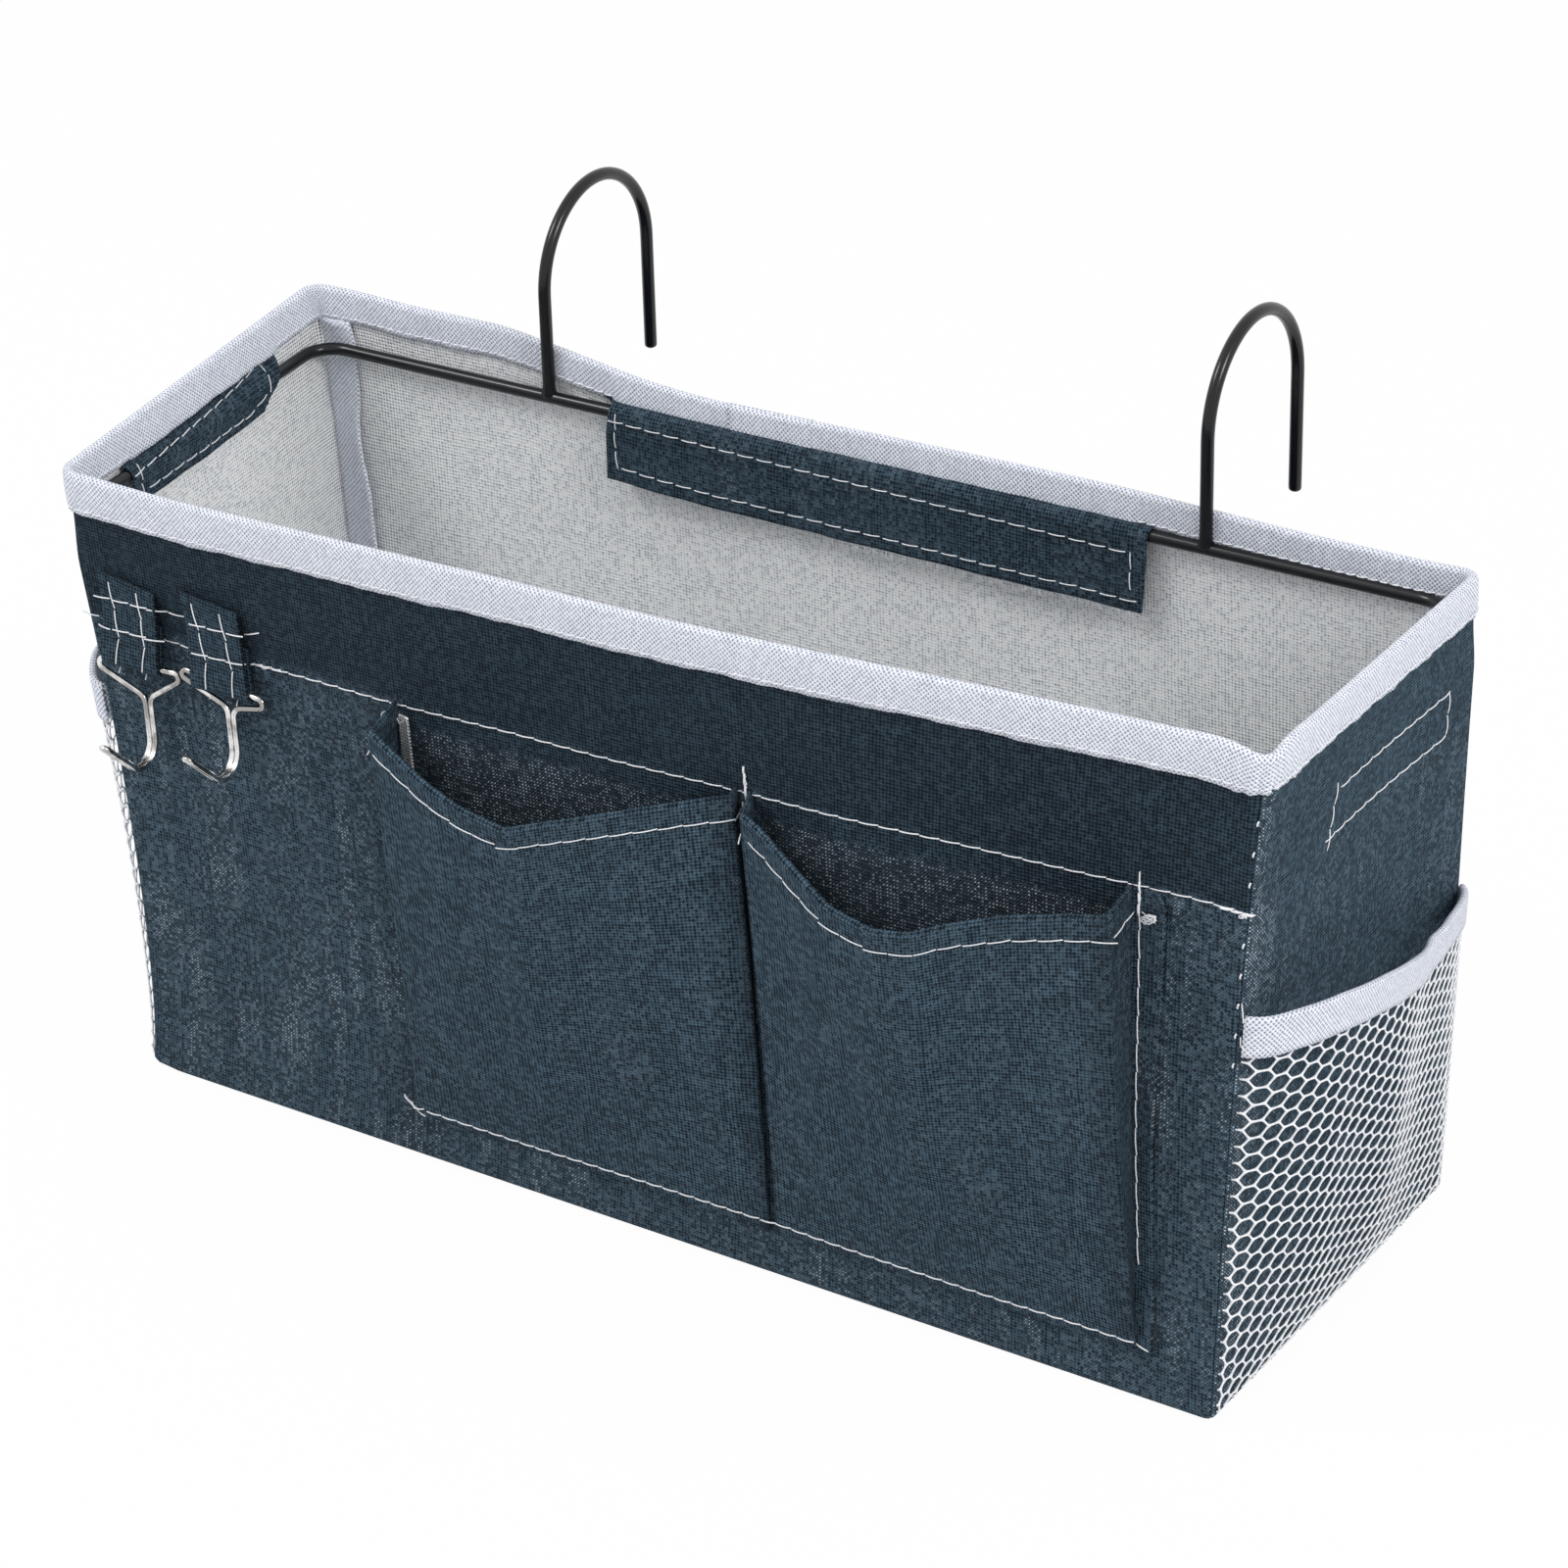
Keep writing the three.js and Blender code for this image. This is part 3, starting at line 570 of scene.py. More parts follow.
def lining_sheer(side, along, heights):
    """How open the lining's weave looks: in the rear left corner, and on the right of the back."""
    if side not in ("left", "back"):
        return 0.0
    half = HALF_DEPTH if side == "left" else half_length(HEIGHT)
    to_corner = along if side == "back" else -along
    sheer = eased((to_corner - half + OPEN_CORNER) / OPEN_CORNER)
    if side == "back":
        at_right = eased((-along - LINING_OPEN[0]) / OPEN_CORNER)
        low_down = eased((LINING_OPEN[1] - heights) / OPEN_CORNER)
        sheer = sheer + 0.6 * at_right * low_down
    return sheer


for side in WALLS:
    node = f"{side}_end_panel" if side in TO_FRONT else f"{side}_panel"
    width = 2 * HALF_DEPTH if side in TO_FRONT else 2 * half_length(HEIGHT)
    rows, flat, along, heights = panel_rows(side, 0, PANEL_TOP, PANEL_STEPS[side])
    sheer, dark = canvas_shares(side, along, heights)
    outer = cloth(
        node + "_canvas", rows, flat, CANVAS, canvas, "caddy", "navy_canvas", sheer=sheer, dark=dark,
    )
    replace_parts(outer, node)
    rows, flat, along, heights = panel_rows(
        side, LINING_INSET, PANEL_TOP - LINING_INSET, PANEL_STEPS[side])
    sheer = lining_sheer(side, along, heights)
    inner = cloth(f"{side}_lining", rows, flat, LINING, lining, "caddy", "pale_lining", sheer=sheer)

for name, height, finish, slot in (
    ("base_panel_canvas", BASE_HEIGHT, canvas, "navy_canvas"),
    ("base_lining", BASE_LINING_HEIGHT, lining, "pale_lining"),
):
    x, y = np.meshgrid(np.linspace(-1, 1, BASE_STEPS[0] + 1), np.linspace(-1, 1, BASE_STEPS[1] + 1))
    inset = FOOT_RADIUS * 0.7 + (height - BASE_HEIGHT)
    flat = np.stack([x * (HALF_BASE - inset), y * (HALF_DEPTH - inset)], -1)
    rows = settle(np.concatenate([flat, np.full(x.shape + (1,), height)], -1))
    made = cloth(name, rows, flat, LINING, finish, "caddy", slot)
    if slot == "navy_canvas":
        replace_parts(made, "base_panel")


# Rim binding
# One white woven tape folded over the top edge of all four walls and sewn through. It puckers a
# little at the stitches, crumples over the front right corner, and its ends overlap at the back.
TAPE = 0.55 * MM
TAPE_PITCH = 0.7 * MM
BINDING_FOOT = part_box("rim_binding")[0].z
INNER_WING_SHORT = 2.2 * MM
BINDING_OUT = 0.35 * MM
BINDING_IN = -2.3 * MM
PUCKER = 0.26 * MM
CRUMPLE = {"hump": 15 * MM, "width": 8 * MM, "dip": 1.7 * MM, "rise": 0.4 * MM, "gather": 16 * MM}
FLAP_SPANS = {"back": (-93 * MM, 87 * MM), "left": (-45 * MM, 43 * MM), "right": (-41 * MM, 41 * MM)}
OVER_FLAP, OVER_FLAP_EDGE = 1.0 * MM, 4 * MM
LAP = (14 * MM, 44 * MM)
LAP_LIFT = 0.5 * MM
LAP_DROP = 1.5 * MM

tape = Finish("white_tape", Roughness=0.75, Sheen_Weight=0.1)
weave = Weave(tape, TAPE_PITCH, 0.15)
bumps = weave.crossing.ramp(-0.85, -0.1)
# The tape's dotted weave, with painted blue-grey shade in its hollows
grain_and_painted_shade = bumps * 0.95 + weave.height.ramp(0.1, 0.8) * 0.2 + weave.cell * 0.3 - 0.3
tape.colour(tape.blend(grain_and_painted_shade, (0.14, 0.17, 0.30, 1), (0.90, 0.93, 1.0, 1)))
tape.relief(bumps * 0.7 + weave.height * 0.5, 0.28 * MM, 1.0)


def rim_stations(spacing=2.0 * MM, corner_steps=10):
    """Places round the rim: shares of the straight box's two half sizes, and the way out there."""
    stations = []
    for side, (across, facing) in WALLS.items():
        half = HALF_DEPTH if across else half_length(HEIGHT)
        count = int(2 * half / spacing)
        way = np.array((across, facing), float)
        left = np.array((-facing, across), float)
        for share in np.linspace(-1, 1, count, endpoint=False):
            stations.append((*(way + left * share), *way))
        for turn in np.linspace(0, np.pi / 2, corner_steps, endpoint=False):
            stations.append((*(way + left), *(way * math.cos(turn) + left * math.sin(turn))))
    return np.array(stations)


def round_rim(stations, height, out):
    """Points of the straight rim at a height and a distance out, with rounded corners."""
    shares, ways = stations[:, :2], stations[:, 2:]
    height, out = (np.broadcast_to(value, len(stations)) for value in (height, out))
    half = np.stack([half_length(height), np.full(height.shape, HALF_DEPTH)], -1) - RIM_CORNER
    flat = shares * half + ways * (RIM_CORNER + out[..., None])
    return np.concatenate([flat, height[..., None]], -1)


def distances(points):
    """How far along a line each of its points lies."""
    return np.concatenate([[0], np.cumsum(np.linalg.norm(np.diff(points, axis=0), axis=1))])


stations = rim_stations()
RIM_TURN = (BINDING_OUT - BINDING_IN) / 2
rim_top = HEIGHT - RIM_TURN
rises = np.linspace(0, 1, 9)
turns = np.linspace(0, np.pi, 9)[1:-1]
profile = np.array(
    [(BINDING_OUT, BINDING_FOOT + (rim_top - BINDING_FOOT) * rise) for rise in rises]
    + [(BINDING_OUT - RIM_TURN * (1 - math.cos(t)), rim_top + RIM_TURN * math.sin(t)) for t in turns]
    + [(BINDING_IN, rim_top - (rim_top - BINDING_FOOT - INNER_WING_SHORT) * rise) for rise in rises]
)
rim_route = round_rim(stations, HEIGHT, 0)
run = distances(rim_route)
corner = (half_length(HEIGHT), -HALF_DEPTH)
front_right = run[np.argmin(np.linalg.norm(rim_route[:, :2] - corner, axis=1))]
foot_share = np.clip((rim_top - profile[:, 1]) / (rim_top - BINDING_FOOT), 0, 1)
outward = np.sign(profile[:, 0] - (BINDING_OUT + BINDING_IN) / 2)


def over_flaps(stations):
    """How far each place is over the root of a flap, which lies under the tape: 0 to 1."""
    shares, ways = stations[:, :2], stations[:, 2:]
    over = np.zeros(len(stations))
    for side, span in FLAP_SPANS.items():
        across, facing = WALLS[side]
        along = shares[:, 1] * HALF_DEPTH * across - shares[:, 0] * half_length(HEIGHT) * facing
        here = ways @ (across, facing) > 0.9
        inside = eased((along - span[0]) / OVER_FLAP_EDGE) * eased((span[1] - along) / OVER_FLAP_EDGE)
        over += here * inside
    return over


def binding_rows(stations, run, swell=0.0, drop=0.0):
    """Rows of the folded tape along a stretch of the rim, puckered at its stitched edges."""
    over = over_flaps(stations)
    from_corner = run - front_right
    crest = -CRUMPLE["dip"] * bump(from_corner, CRUMPLE["width"])
    for hump in (-CRUMPLE["hump"], CRUMPLE["hump"]):
        crest = crest + CRUMPLE["rise"] * bump(from_corner - hump, CRUMPLE["width"])
    gather = bump(from_corner, CRUMPLE["gather"])
    rows = []
    for (out, height), low, sign in zip(profile, foot_share, outward):
        wander = low * (0.16 * np.sin(run * 95) + 0.12 * np.sin(run * 231 + 2)) * MM
        pucker = PUCKER * (np.sin(run * 830) * low ** 2 * 0.7 + np.sin(run * 310 + 1) * low)
        pucker = pucker + gather * 0.45 * MM * np.sin(run * 1500) * (0.4 + low)
        belly = 0.3 * MM * math.sin(math.pi * low) + swell + OVER_FLAP * over * low * (sign < 0)
        lift = crest * (1 - low) - drop * low
        route = round_rim(stations, height + wander + lift, out + sign * (pucker + belly))
        rows.append(settle(route))
    return np.array(rows)


across = distances(profile)
binding = cloth(
    "rim_binding_tape", binding_rows(stations, run), np.stack(np.meshgrid(run, across), -1), TAPE, tape,
    "caddy", "white_tape", ring=True, side_out=0,
)
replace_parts(binding, "rim_binding")

to_left = -rim_route[:, 0]
lapped = (rim_route[:, 1] > HALF_DEPTH * 0.9) & (to_left > LAP[0]) & (to_left < LAP[1])
lap_run = run[lapped]
lap_drop = LAP_DROP * (lap_run - lap_run[0]) / (lap_run[-1] - lap_run[0])
lap = cloth(
    "rim_binding_lap", binding_rows(stations[lapped], lap_run, LAP_LIFT, lap_drop),
    np.stack(np.meshgrid(lap_run, across), -1), TAPE, tape, "caddy", "white_tape", side_out=0,
)
lap_flat = (float(across[-1]), float(np.ptp(lap_run)))


# Wire ring and rail hooks
# Steel wire of 4 mm in glossy black coating: a ring with round corners, and two hooks, each a leg
# that is welded on the ring, an arch over the bed rail and a free leg with a rounded tip.
WIRE_SIDES = 20
RING_CORNER = 9 * MM
RING_SKEW = 8.5 * MM
RING_STEP, HOOK_STEP = 2.5 * MM, 1.6 * MM
# How much less high than its wire the faceted ring of the solids is
FACETED = math.cos(math.pi / 20)
WELD_SWELL, WELD_REACH = 0.28, 1.3 * MM

black = Finish(
    "black_wire", Base_Color=(0.004, 0.0045, 0.006, 1), Roughness=0.3, Specular_IOR_Level=0.2,
    Coat_Weight=0.35, Coat_Roughness=0.1,
)
black.relief(black.noise_in_space(260), 0.05 * MM, 0.4)


def tube(name, path, radius, finish, body, slot, closed=False, sides=WIRE_SIDES):
    """A round wire along a path, with domed ends where it is open."""
    path = np.asarray(path, float)
    radii = np.broadcast_to(radius, len(path)).astype(float)
    if not closed:
        first, last = path[0] - path[1], path[-1] - path[-2]
        first, last = first / np.linalg.norm(first), last / np.linalg.norm(last)
        dome = np.radians((75, 50, 25))
        path = np.concatenate([
            [path[0] + first * radii[0] * 0.6 * math.sin(a) for a in dome], path,
            [path[-1] + last * radii[-1] * 0.6 * math.sin(a) for a in dome[::-1]],
        ])
        radii = np.concatenate([radii[0] * np.cos(dome), radii, radii[-1] * np.cos(dome[::-1])])
    after = np.roll(path, -1, axis=0)
    before = np.roll(path, 1, axis=0)
    if not closed:
        after[-1], before[0] = path[-1], path[0]
    along = after - before
    along /= np.linalg.norm(along, axis=1)[:, None]
    side = np.cross(along[0], (0.13, 0.21, 0.97))
    side /= np.linalg.norm(side)
    sides_of = []
    for way in along:
        side = side - way * (side @ way)
        side /= np.linalg.norm(side)
        sides_of.append(side)
    if closed:
        last, first = sides_of[-1], sides_of[0]
        twist = math.atan2(np.cross(last, first) @ along[0], last @ first)
    else:
        twist = 0
    points = []
    for i, (place, way, side, size) in enumerate(zip(path, along, sides_of, radii)):
        lift = np.cross(way, side)
        for k in range(sides):
            angle = 2 * math.pi * k / sides + twist * i / len(path)
            points.append(place + size * (side * math.cos(angle) + lift * math.sin(angle)))
    links = len(path) if closed else len(path) - 1
    faces = []
    for i in range(links):
        here, there = i * sides, (i + 1) % len(path) * sides
        for k in range(sides):
            faces.append((here + k, here + (k + 1) % sides, there + (k + 1) % sides, there + k))
    if not closed:
        last_ring = (len(path) - 1) * sides
        faces.append(tuple(range(sides))[::-1])
        faces.append(tuple(range(last_ring, last_ring + sides)))
    made = piece(name, points, faces, finish, body, slot)
    fill = bmesh.new()
    fill.from_mesh(made.data)
    bmesh.ops.recalc_face_normals(fill, faces=fill.faces)
    fill.to_mesh(made.data)
    fill.free()
    return made


def rounded_route(corners, radii, steps=14):
    """A route through corners, each rounded by its own radius."""
    corners = [np.array(c, float) for c in corners]
    points = []
    for i, (at, radius) in enumerate(zip(corners, radii)):
        if not radius:
            points.append(at)
            continue
        back_way = corners[i - 1] - at
        on_way = corners[(i + 1) % len(corners)] - at
        back_way, on_way = back_way / np.linalg.norm(back_way), on_way / np.linalg.norm(on_way)
        half = math.acos(np.clip(back_way @ on_way, -1, 1)) / 2
        middle = back_way + on_way
        centre = at + middle / np.linalg.norm(middle) * radius / math.sin(half)
        start = at + back_way * radius / math.tan(half) - centre
        end = at + on_way * radius / math.tan(half) - centre
        sweep = math.acos(np.clip(start @ end / radius ** 2, -1, 1))
        for k in range(steps + 1):
            share = k / steps
            arm = (math.sin((1 - share) * sweep) * start + math.sin(share * sweep) * end) / math.sin(sweep)
            points.append(centre + arm)
    return points


def spaced(points, step, closed=False):
    """The same route with its points a step apart, so that the wire's faces stay even."""
    points = np.array(points)
    if closed:
        points = np.concatenate([points, points[:1]])
    lengths = distances(points)
    count = max(int(round(lengths[-1] / step)), 2)
    places = np.linspace(0, lengths[-1], count + 1)
    if closed:
        places = places[:-1]
    return np.stack([np.interp(places, lengths, points[:, i]) for i in range(3)], -1)


ring_low, ring_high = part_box("wire_ring")
ring_radius = (ring_high.z - ring_low.z) / 2 / FACETED
ring_z = (ring_low.z + ring_high.z) / 2
ring_x = ring_high.x - ring_radius
ring_y = ring_high.y - ring_radius
ring_route = rounded_route(
    [
        (-ring_x, -ring_y, ring_z), (ring_x, -ring_y, ring_z),
        (ring_x, ring_y, ring_z), (-ring_x - RING_SKEW, ring_y, ring_z),
    ],
    [RING_CORNER] * 4,
)
ring_route = spaced(ring_route, RING_STEP, True)
ring = tube("wire_ring_coated", ring_route, ring_radius, black, "caddy", "black_wire", True)
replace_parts(baked(ring), "wire_ring")

for side in ("left", "right"):
    low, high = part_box(f"rail_hook_{side}")
    radius = (high.x - low.x) / 2
    x = (low.x + high.x) / 2
    near, far = low.y + radius, high.y - radius
    arch = (far - near) / 2
    crown = high.z - radius
    leg_foot = ring_z + ring_radius * 0.6
    route = rounded_route(
        [(x, near, leg_foot), (x, near, crown), (x, far, crown), (x, far, low.z + radius * 0.6)],
        [0, arch, arch, 0],
        24,
    )
    path = spaced(route, HOOK_STEP)
    weld = bump(path[:, 2] - leg_foot, WELD_REACH) * (path[:, 1] < near + 1 * MM)
    sizes = radius * (1 + WELD_SWELL * weld)
    hook = tube(f"rail_hook_{side}_coated", path, sizes, black, "caddy", "black_wire")
    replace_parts(baked(hook), f"rail_hook_{side}")


# Thread
# All seams are sewn with one fine white thread in a lockstitch: short arched stitches that lean a
# little and dip into the cloth at both ends. A path of points is turned into stitches by nodes.
STITCH = 6.4 * MM
THREAD_THICKNESS = 0.44 * MM
STITCH_ARCH = 0.34 * MM
STITCH_LEAN = 0.16 * MM
STITCH_SHARE = 0.97
LOOSE_THICKNESS = 0.32 * MM

thread = Finish("white_thread", Roughness=0.7, Sheen_Weight=0.2)
ply = thread.noise_in_space(2600)
thread.colour(thread.blend(ply.ramp(0.3, 0.7), (0.70, 0.72, 0.76, 1), (0.97, 0.98, 1.0, 1)))
thread.relief(ply, 0.12 * MM, 0.6)


class Tree(Nodes):
    """Geometry nodes with named sizes as their inputs, and one material for what they make."""
    def __init__(self, name, sizes, material):
        super().__init__(bpy.data.node_groups.new(name, "GeometryNodeTree"))
        face = self.tree.interface
        face.new_socket("Geometry", in_out="INPUT", socket_type="NodeSocketGeometry")
        for size, value in sizes.items():
            kind = "NodeSocketInt" if isinstance(value, int) else "NodeSocketFloat"
            face.new_socket(size, in_out="INPUT", socket_type=kind)
        face.new_socket("Geometry", in_out="OUTPUT", socket_type="NodeSocketGeometry")
        self.inputs = self.tree.nodes.new("NodeGroupInput").outputs
        self.sizes = sizes
        self.material = material

    def size(self, name):
        return Value(self, self.inputs[name])

    def strand(self, curve, thickness, sides, **more):
        """Gives a curve the body of a round thread."""
        circle = {"Resolution": sides, "Radius": thickness * 0.5}
        section = self.add("GeometryNodeCurvePrimitiveCircle", {}, circle)[0]
        inputs = {0: curve, 1: section, "Fill Caps": True, **more}
        return self.add("GeometryNodeCurveToMesh", {}, inputs)[0]

    def end(self, geometry):
        smooth = self.add("GeometryNodeSetShadeSmooth", {}, [geometry])[0]
        real = self.add("GeometryNodeRealizeInstances", {}, [smooth])[0]
        dressed = self.add("GeometryNodeSetMaterial", {}, {0: real, "Material": self.material})[0]
        last = self.tree.nodes.new("NodeGroupOutput")
        self.tree.links.new(dressed, last.inputs[0])

    def grow(self, made, **sizes):
        modifier = made.modifiers.new(self.tree.name, "NODES")
        modifier.node_group = self.tree
        values = {**self.sizes, **sizes}
        for item in self.tree.interface.items_tree:
            if item.in_out == "INPUT" and item.name in values:
                modifier[item.identifier] = values[item.name]
        return baked(made)


sewing = Tree(
    "stitches",
    {"pitch": STITCH, "length": STITCH * STITCH_SHARE, "thickness": THREAD_THICKNESS},
    thread.material,
)
line = sewing.add("GeometryNodeMeshToCurve", {}, [sewing.inputs["Geometry"]])[0]
inputs = {0: line, "Length": sewing.inputs["pitch"]}
spots = sewing.add("GeometryNodeCurveToPoints", {"mode": "LENGTH"}, inputs)
facing = sewing.add("GeometryNodeInputNamedAttribute", {"data_type": "FLOAT_VECTOR"}, ["facing"])[0]
turn = sewing.add("FunctionNodeAlignRotationToVector", {"axis": "X"}, {"Vector": spots[1]})[0]
turn = sewing.add(
    "FunctionNodeAlignRotationToVector", {"axis": "Z", "pivot_axis": "X"},
    {"Rotation": turn, "Vector": facing},
)[0]
half = sewing.size("length") * 0.5
dip = sewing.size("thickness") * -0.45
arc = sewing.add("GeometryNodeCurveQuadraticBezier", {}, {
    "Resolution": 6,
    "Start": sewing.join(half * -1.0, -STITCH_LEAN, dip),
    "Middle": sewing.join(0.0, 0.0, STITCH_ARCH * 1.6),
    "End": sewing.join(half, STITCH_LEAN, dip),
})[0]
strand = sewing.strand(arc, sewing.size("thickness"), 6)
inputs = {0: spots[0], "Instance": strand, "Rotation": turn}
sewing.end(sewing.add("GeometryNodeInstanceOnPoints", {}, inputs)[0])


def surface_facing(surface, u, v, probe):
    across = surface(u + probe[0], v) - surface(u - probe[0], v)
    up = surface(u, v + probe[1]) - surface(u, v - probe[1])
    facing = np.cross(across, up)
    return facing / np.linalg.norm(facing, axis=-1, keepdims=True)


def seam_path(surface, corners, lift=0.0, probe=(0.3 * MM, 0.3 * MM), count=90, side=1):
    """Points and outward directions along a line through corners on a surface."""
    corners = np.array(corners, float)
    runs = distances(corners)
    places = np.union1d(np.linspace(0, runs[-1], count), runs)
    u, v = (np.interp(places, runs, corners[:, i]) for i in range(2))
    facing = surface_facing(surface, u, v, probe) * side
    return surface(u, v) + facing * lift, facing


def thread_piece(name, lines, body):
    """Lines of points as the edges of one mesh, which nodes turn into thread."""
    edges, first = [], 0
    for line in lines:
        edges.extend((first + i, first + i + 1) for i in range(len(line) - 1))
        first += len(line)
    return piece(name, np.concatenate(lines), [], thread, body, "white_tape", edges)


def stitches(name, paths, body, **sizes):
    """Stitches along paths, each one of points and the directions that its stitches face."""
    made = thread_piece(name, [points for points, _ in paths], body)
    facings = np.concatenate([facing for _, facing in paths]).astype(np.float32)
    attribute = made.data.attributes.new("facing", "FLOAT_VECTOR", "POINT")
    attribute.data.foreach_set("vector", facings.ravel())
    return sewing.grow(made, **sizes)


def run_on(*paths):
    """One path from several, so that the stitches run on from one to the next."""
    return tuple(np.concatenate(parts) for parts in zip(*paths))


single = Tree("loose_thread", {"thickness": LOOSE_THICKNESS}, thread.material)
line = single.add("GeometryNodeMeshToCurve", {}, [single.inputs["Geometry"]])[0]
single.end(single.strand(line, single.size("thickness"), 5))


def loose_threads(name, lines, body, **sizes):
    """Ends of thread that hang free, each a line of points."""
    return single.grow(thread_piece(name, lines, body), **sizes)


# Seam tapes
# The raw edges of the four upright seams are bound in the same white tape. Each bound edge is
# pressed against the long wall, stands off it here and there, and is sewn only at the corner.
SEAM_WING = 11 * MM
SEAM_INSIDE = 1.7 * MM
SEAM_TURN = 0.55 * MM
SEAM_LOOSE = 1.9 * MM
SEAM_STEPS = 80
SEAM_INTO_BINDING = 3 * MM
# How far the ring squeezes a tape in, and how far the tape puffs out above it, with their reaches
RING_SQUEEZE = (1.3 * MM, 7 * MM)
RING_PUFF, PUFF_ABOVE_RING = (2.2 * MM, 3.5 * MM), 8 * MM

for end_name, end in (("left", -1), ("right", 1)):
    for face_name, face in (("front", -1), ("back", 1)):
        node = f"seam_tape_{face_name}_{end_name}"
        low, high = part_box(node)
        heights = np.linspace(low.z, high.z + SEAM_INTO_BINDING, SEAM_STEPS)
        turn = np.linspace(-np.pi / 2, np.pi / 2, 7)[1:-1]
        line = np.array(
            [(share * (SEAM_WING - SEAM_TURN), 0) for share in np.linspace(0.04, 1, 8)]
            + [(SEAM_WING - SEAM_TURN * (1 - math.cos(t)), SEAM_TURN * (1 + math.sin(t))) for t in turn]
            + [(share * (SEAM_WING - SEAM_TURN), 2 * SEAM_TURN) for share in np.linspace(1, 0, 8)]
        )
        rows = []
        for height in heights:
            wave = math.sin(height * 52 + end + 2 * face) + 0.5 * math.sin(height * 131 + face)
            share = line[:, 0] / SEAM_WING
            reach = line[:, 0] * (1 + 0.08 * math.sin(height * 75 + end) + 0.05 * math.sin(height * 190))
            squeeze = RING_SQUEEZE[0] * bump(height - ring_z, RING_SQUEEZE[1])
            puff = RING_PUFF[0] * bump(height - ring_z - PUFF_ABOVE_RING, RING_PUFF[1])
            off = SEAM_INSIDE + line[:, 1] + SEAM_LOOSE * share ** 2 * max(0.1, 0.55 + 0.45 * wave)
            off = off + puff * np.sin(np.pi * share)
            x = end * (half_length(height) - SEAM_INSIDE - reach - squeeze * share)
            rows.append(settle(np.stack([x, face * (HALF_DEPTH - off), np.full(len(line), height)], -1)))
        across = distances(line)
        flat = np.stack(np.meshgrid(across, heights), -1)
        made = cloth(node + "_cloth", rows, flat, TAPE * 0.8, tape, "caddy", "white_tape", side_out=0)
        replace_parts(made, node)
        sizes = (float(across[-1]), float(high.z - low.z))


# Sleeve flaps
# A strip of doubled canvas hangs from the foot of the binding on three sides, goes over the wire
# ring and closes on the wall with hook and loop tape. It opens about its top edge.
FLAP = 1.0 * MM
SLEEVE_RADIUS = ring_radius + 0.25 * MM + FLAP / 2
FLAP_HANG_OUT = -6.6 * MM
FLAP_TURN_HEIGHT = 181 * MM
FLAP_ROOT_OUT = -2.7 * MM
FLAP_WAVE = 0.18 * MM
FLAP_FREE_FROM = 12 * MM
# The left flap's sleeve stands up behind this place along the wall, more and more over a stretch
SLACK_REAR = {"left": 4.2 * MM}
SLACK_FROM, SLACK_OVER, SLACK_REACH = 10 * MM, 45 * MM, 7 * MM
RING_OUT = ring_y - HALF_DEPTH
# For each flap, from its low end to its high end along the wall: where its top corners are, where
# its foot corners are, and how high its foot hangs, in millimetres
FLAP_SHAPES = {
    "back": {"top": (-92.6, 86.4), "foot": (-90.2, 87.0), "drop": (164.6, 166.8)},
    "left": {"top": (-44.0, 42.5), "foot": (-28.5, 41.5), "drop": (178.8, 179.0)},
    "right": {"top": (-40.0, 40.0), "foot": (-40.0, 37.0), "drop": (164.0, 163.0)},
}
# The seam of each flap as a line of corners: distance along the wall and height, in millimetres
FLAP_SEAMS = {
    "back": ((83.8, 185.6), (83.4, 171.4), (-86.6, 168.0), (-87.0, 182.6), (83.8, 185.6)),
    "left": ((39, 187.5), (38, 181.8), (-20, 181.6), (-29, 185.0), (-31, 190.2), (39, 187.5)),
    "right": ((36, 182), (36, 167), (-36, 167), (-36, 182), (36, 182)),
}


def ring_out(side, along):
    """How far the ring lies from a wall. Its arm at the left end is bent out towards the back."""
    skew = RING_SKEW * np.clip((HALF_DEPTH - along) / (2 * HALF_DEPTH), 0, 1) if side == "left" else 0.0
    return RING_OUT + skew


def flap_line(foot):
    """The flap's run from its root under the binding, over the ring and down: out, height, hold.
    Out is counted from the ring's middle. A hold of 1 stays with the ring, 0 lies with the wall."""
    over = [
        (SLEEVE_RADIUS * math.cos(a), ring_z + SLEEVE_RADIUS * math.sin(a), 1.0)
        for a in np.radians(np.linspace(62, 190, 13))
    ]
    heights = np.linspace(FLAP_TURN_HEIGHT, foot, 12)
    hang = [(FLAP_HANG_OUT - RING_OUT, height, 0.6) for height in heights]
    root_height = BINDING_FOOT + INNER_WING_SHORT
    root = [
        (FLAP_ROOT_OUT - RING_OUT + 0.6 * MM, root_height + 2 * MM, 0.0),
        (FLAP_ROOT_OUT - RING_OUT, root_height, 0.0),
    ]
    return np.array(root + over + hang)


def smooth_line(line, step=1.1 * MM):
    """The same line in even steps, with its corners rounded off, and the distance along it."""
    runs = distances(line[:, :2])
    places = np.linspace(0, runs[-1], int(runs[-1] / step) + 1)
    fine = np.stack([np.interp(places, runs, line[:, i]) for i in range(line.shape[1])], -1)
    for _ in range(3):
        fine[1:-1] = (fine[:-2] + 2 * fine[1:-1] + fine[2:]) / 4
    return fine, places


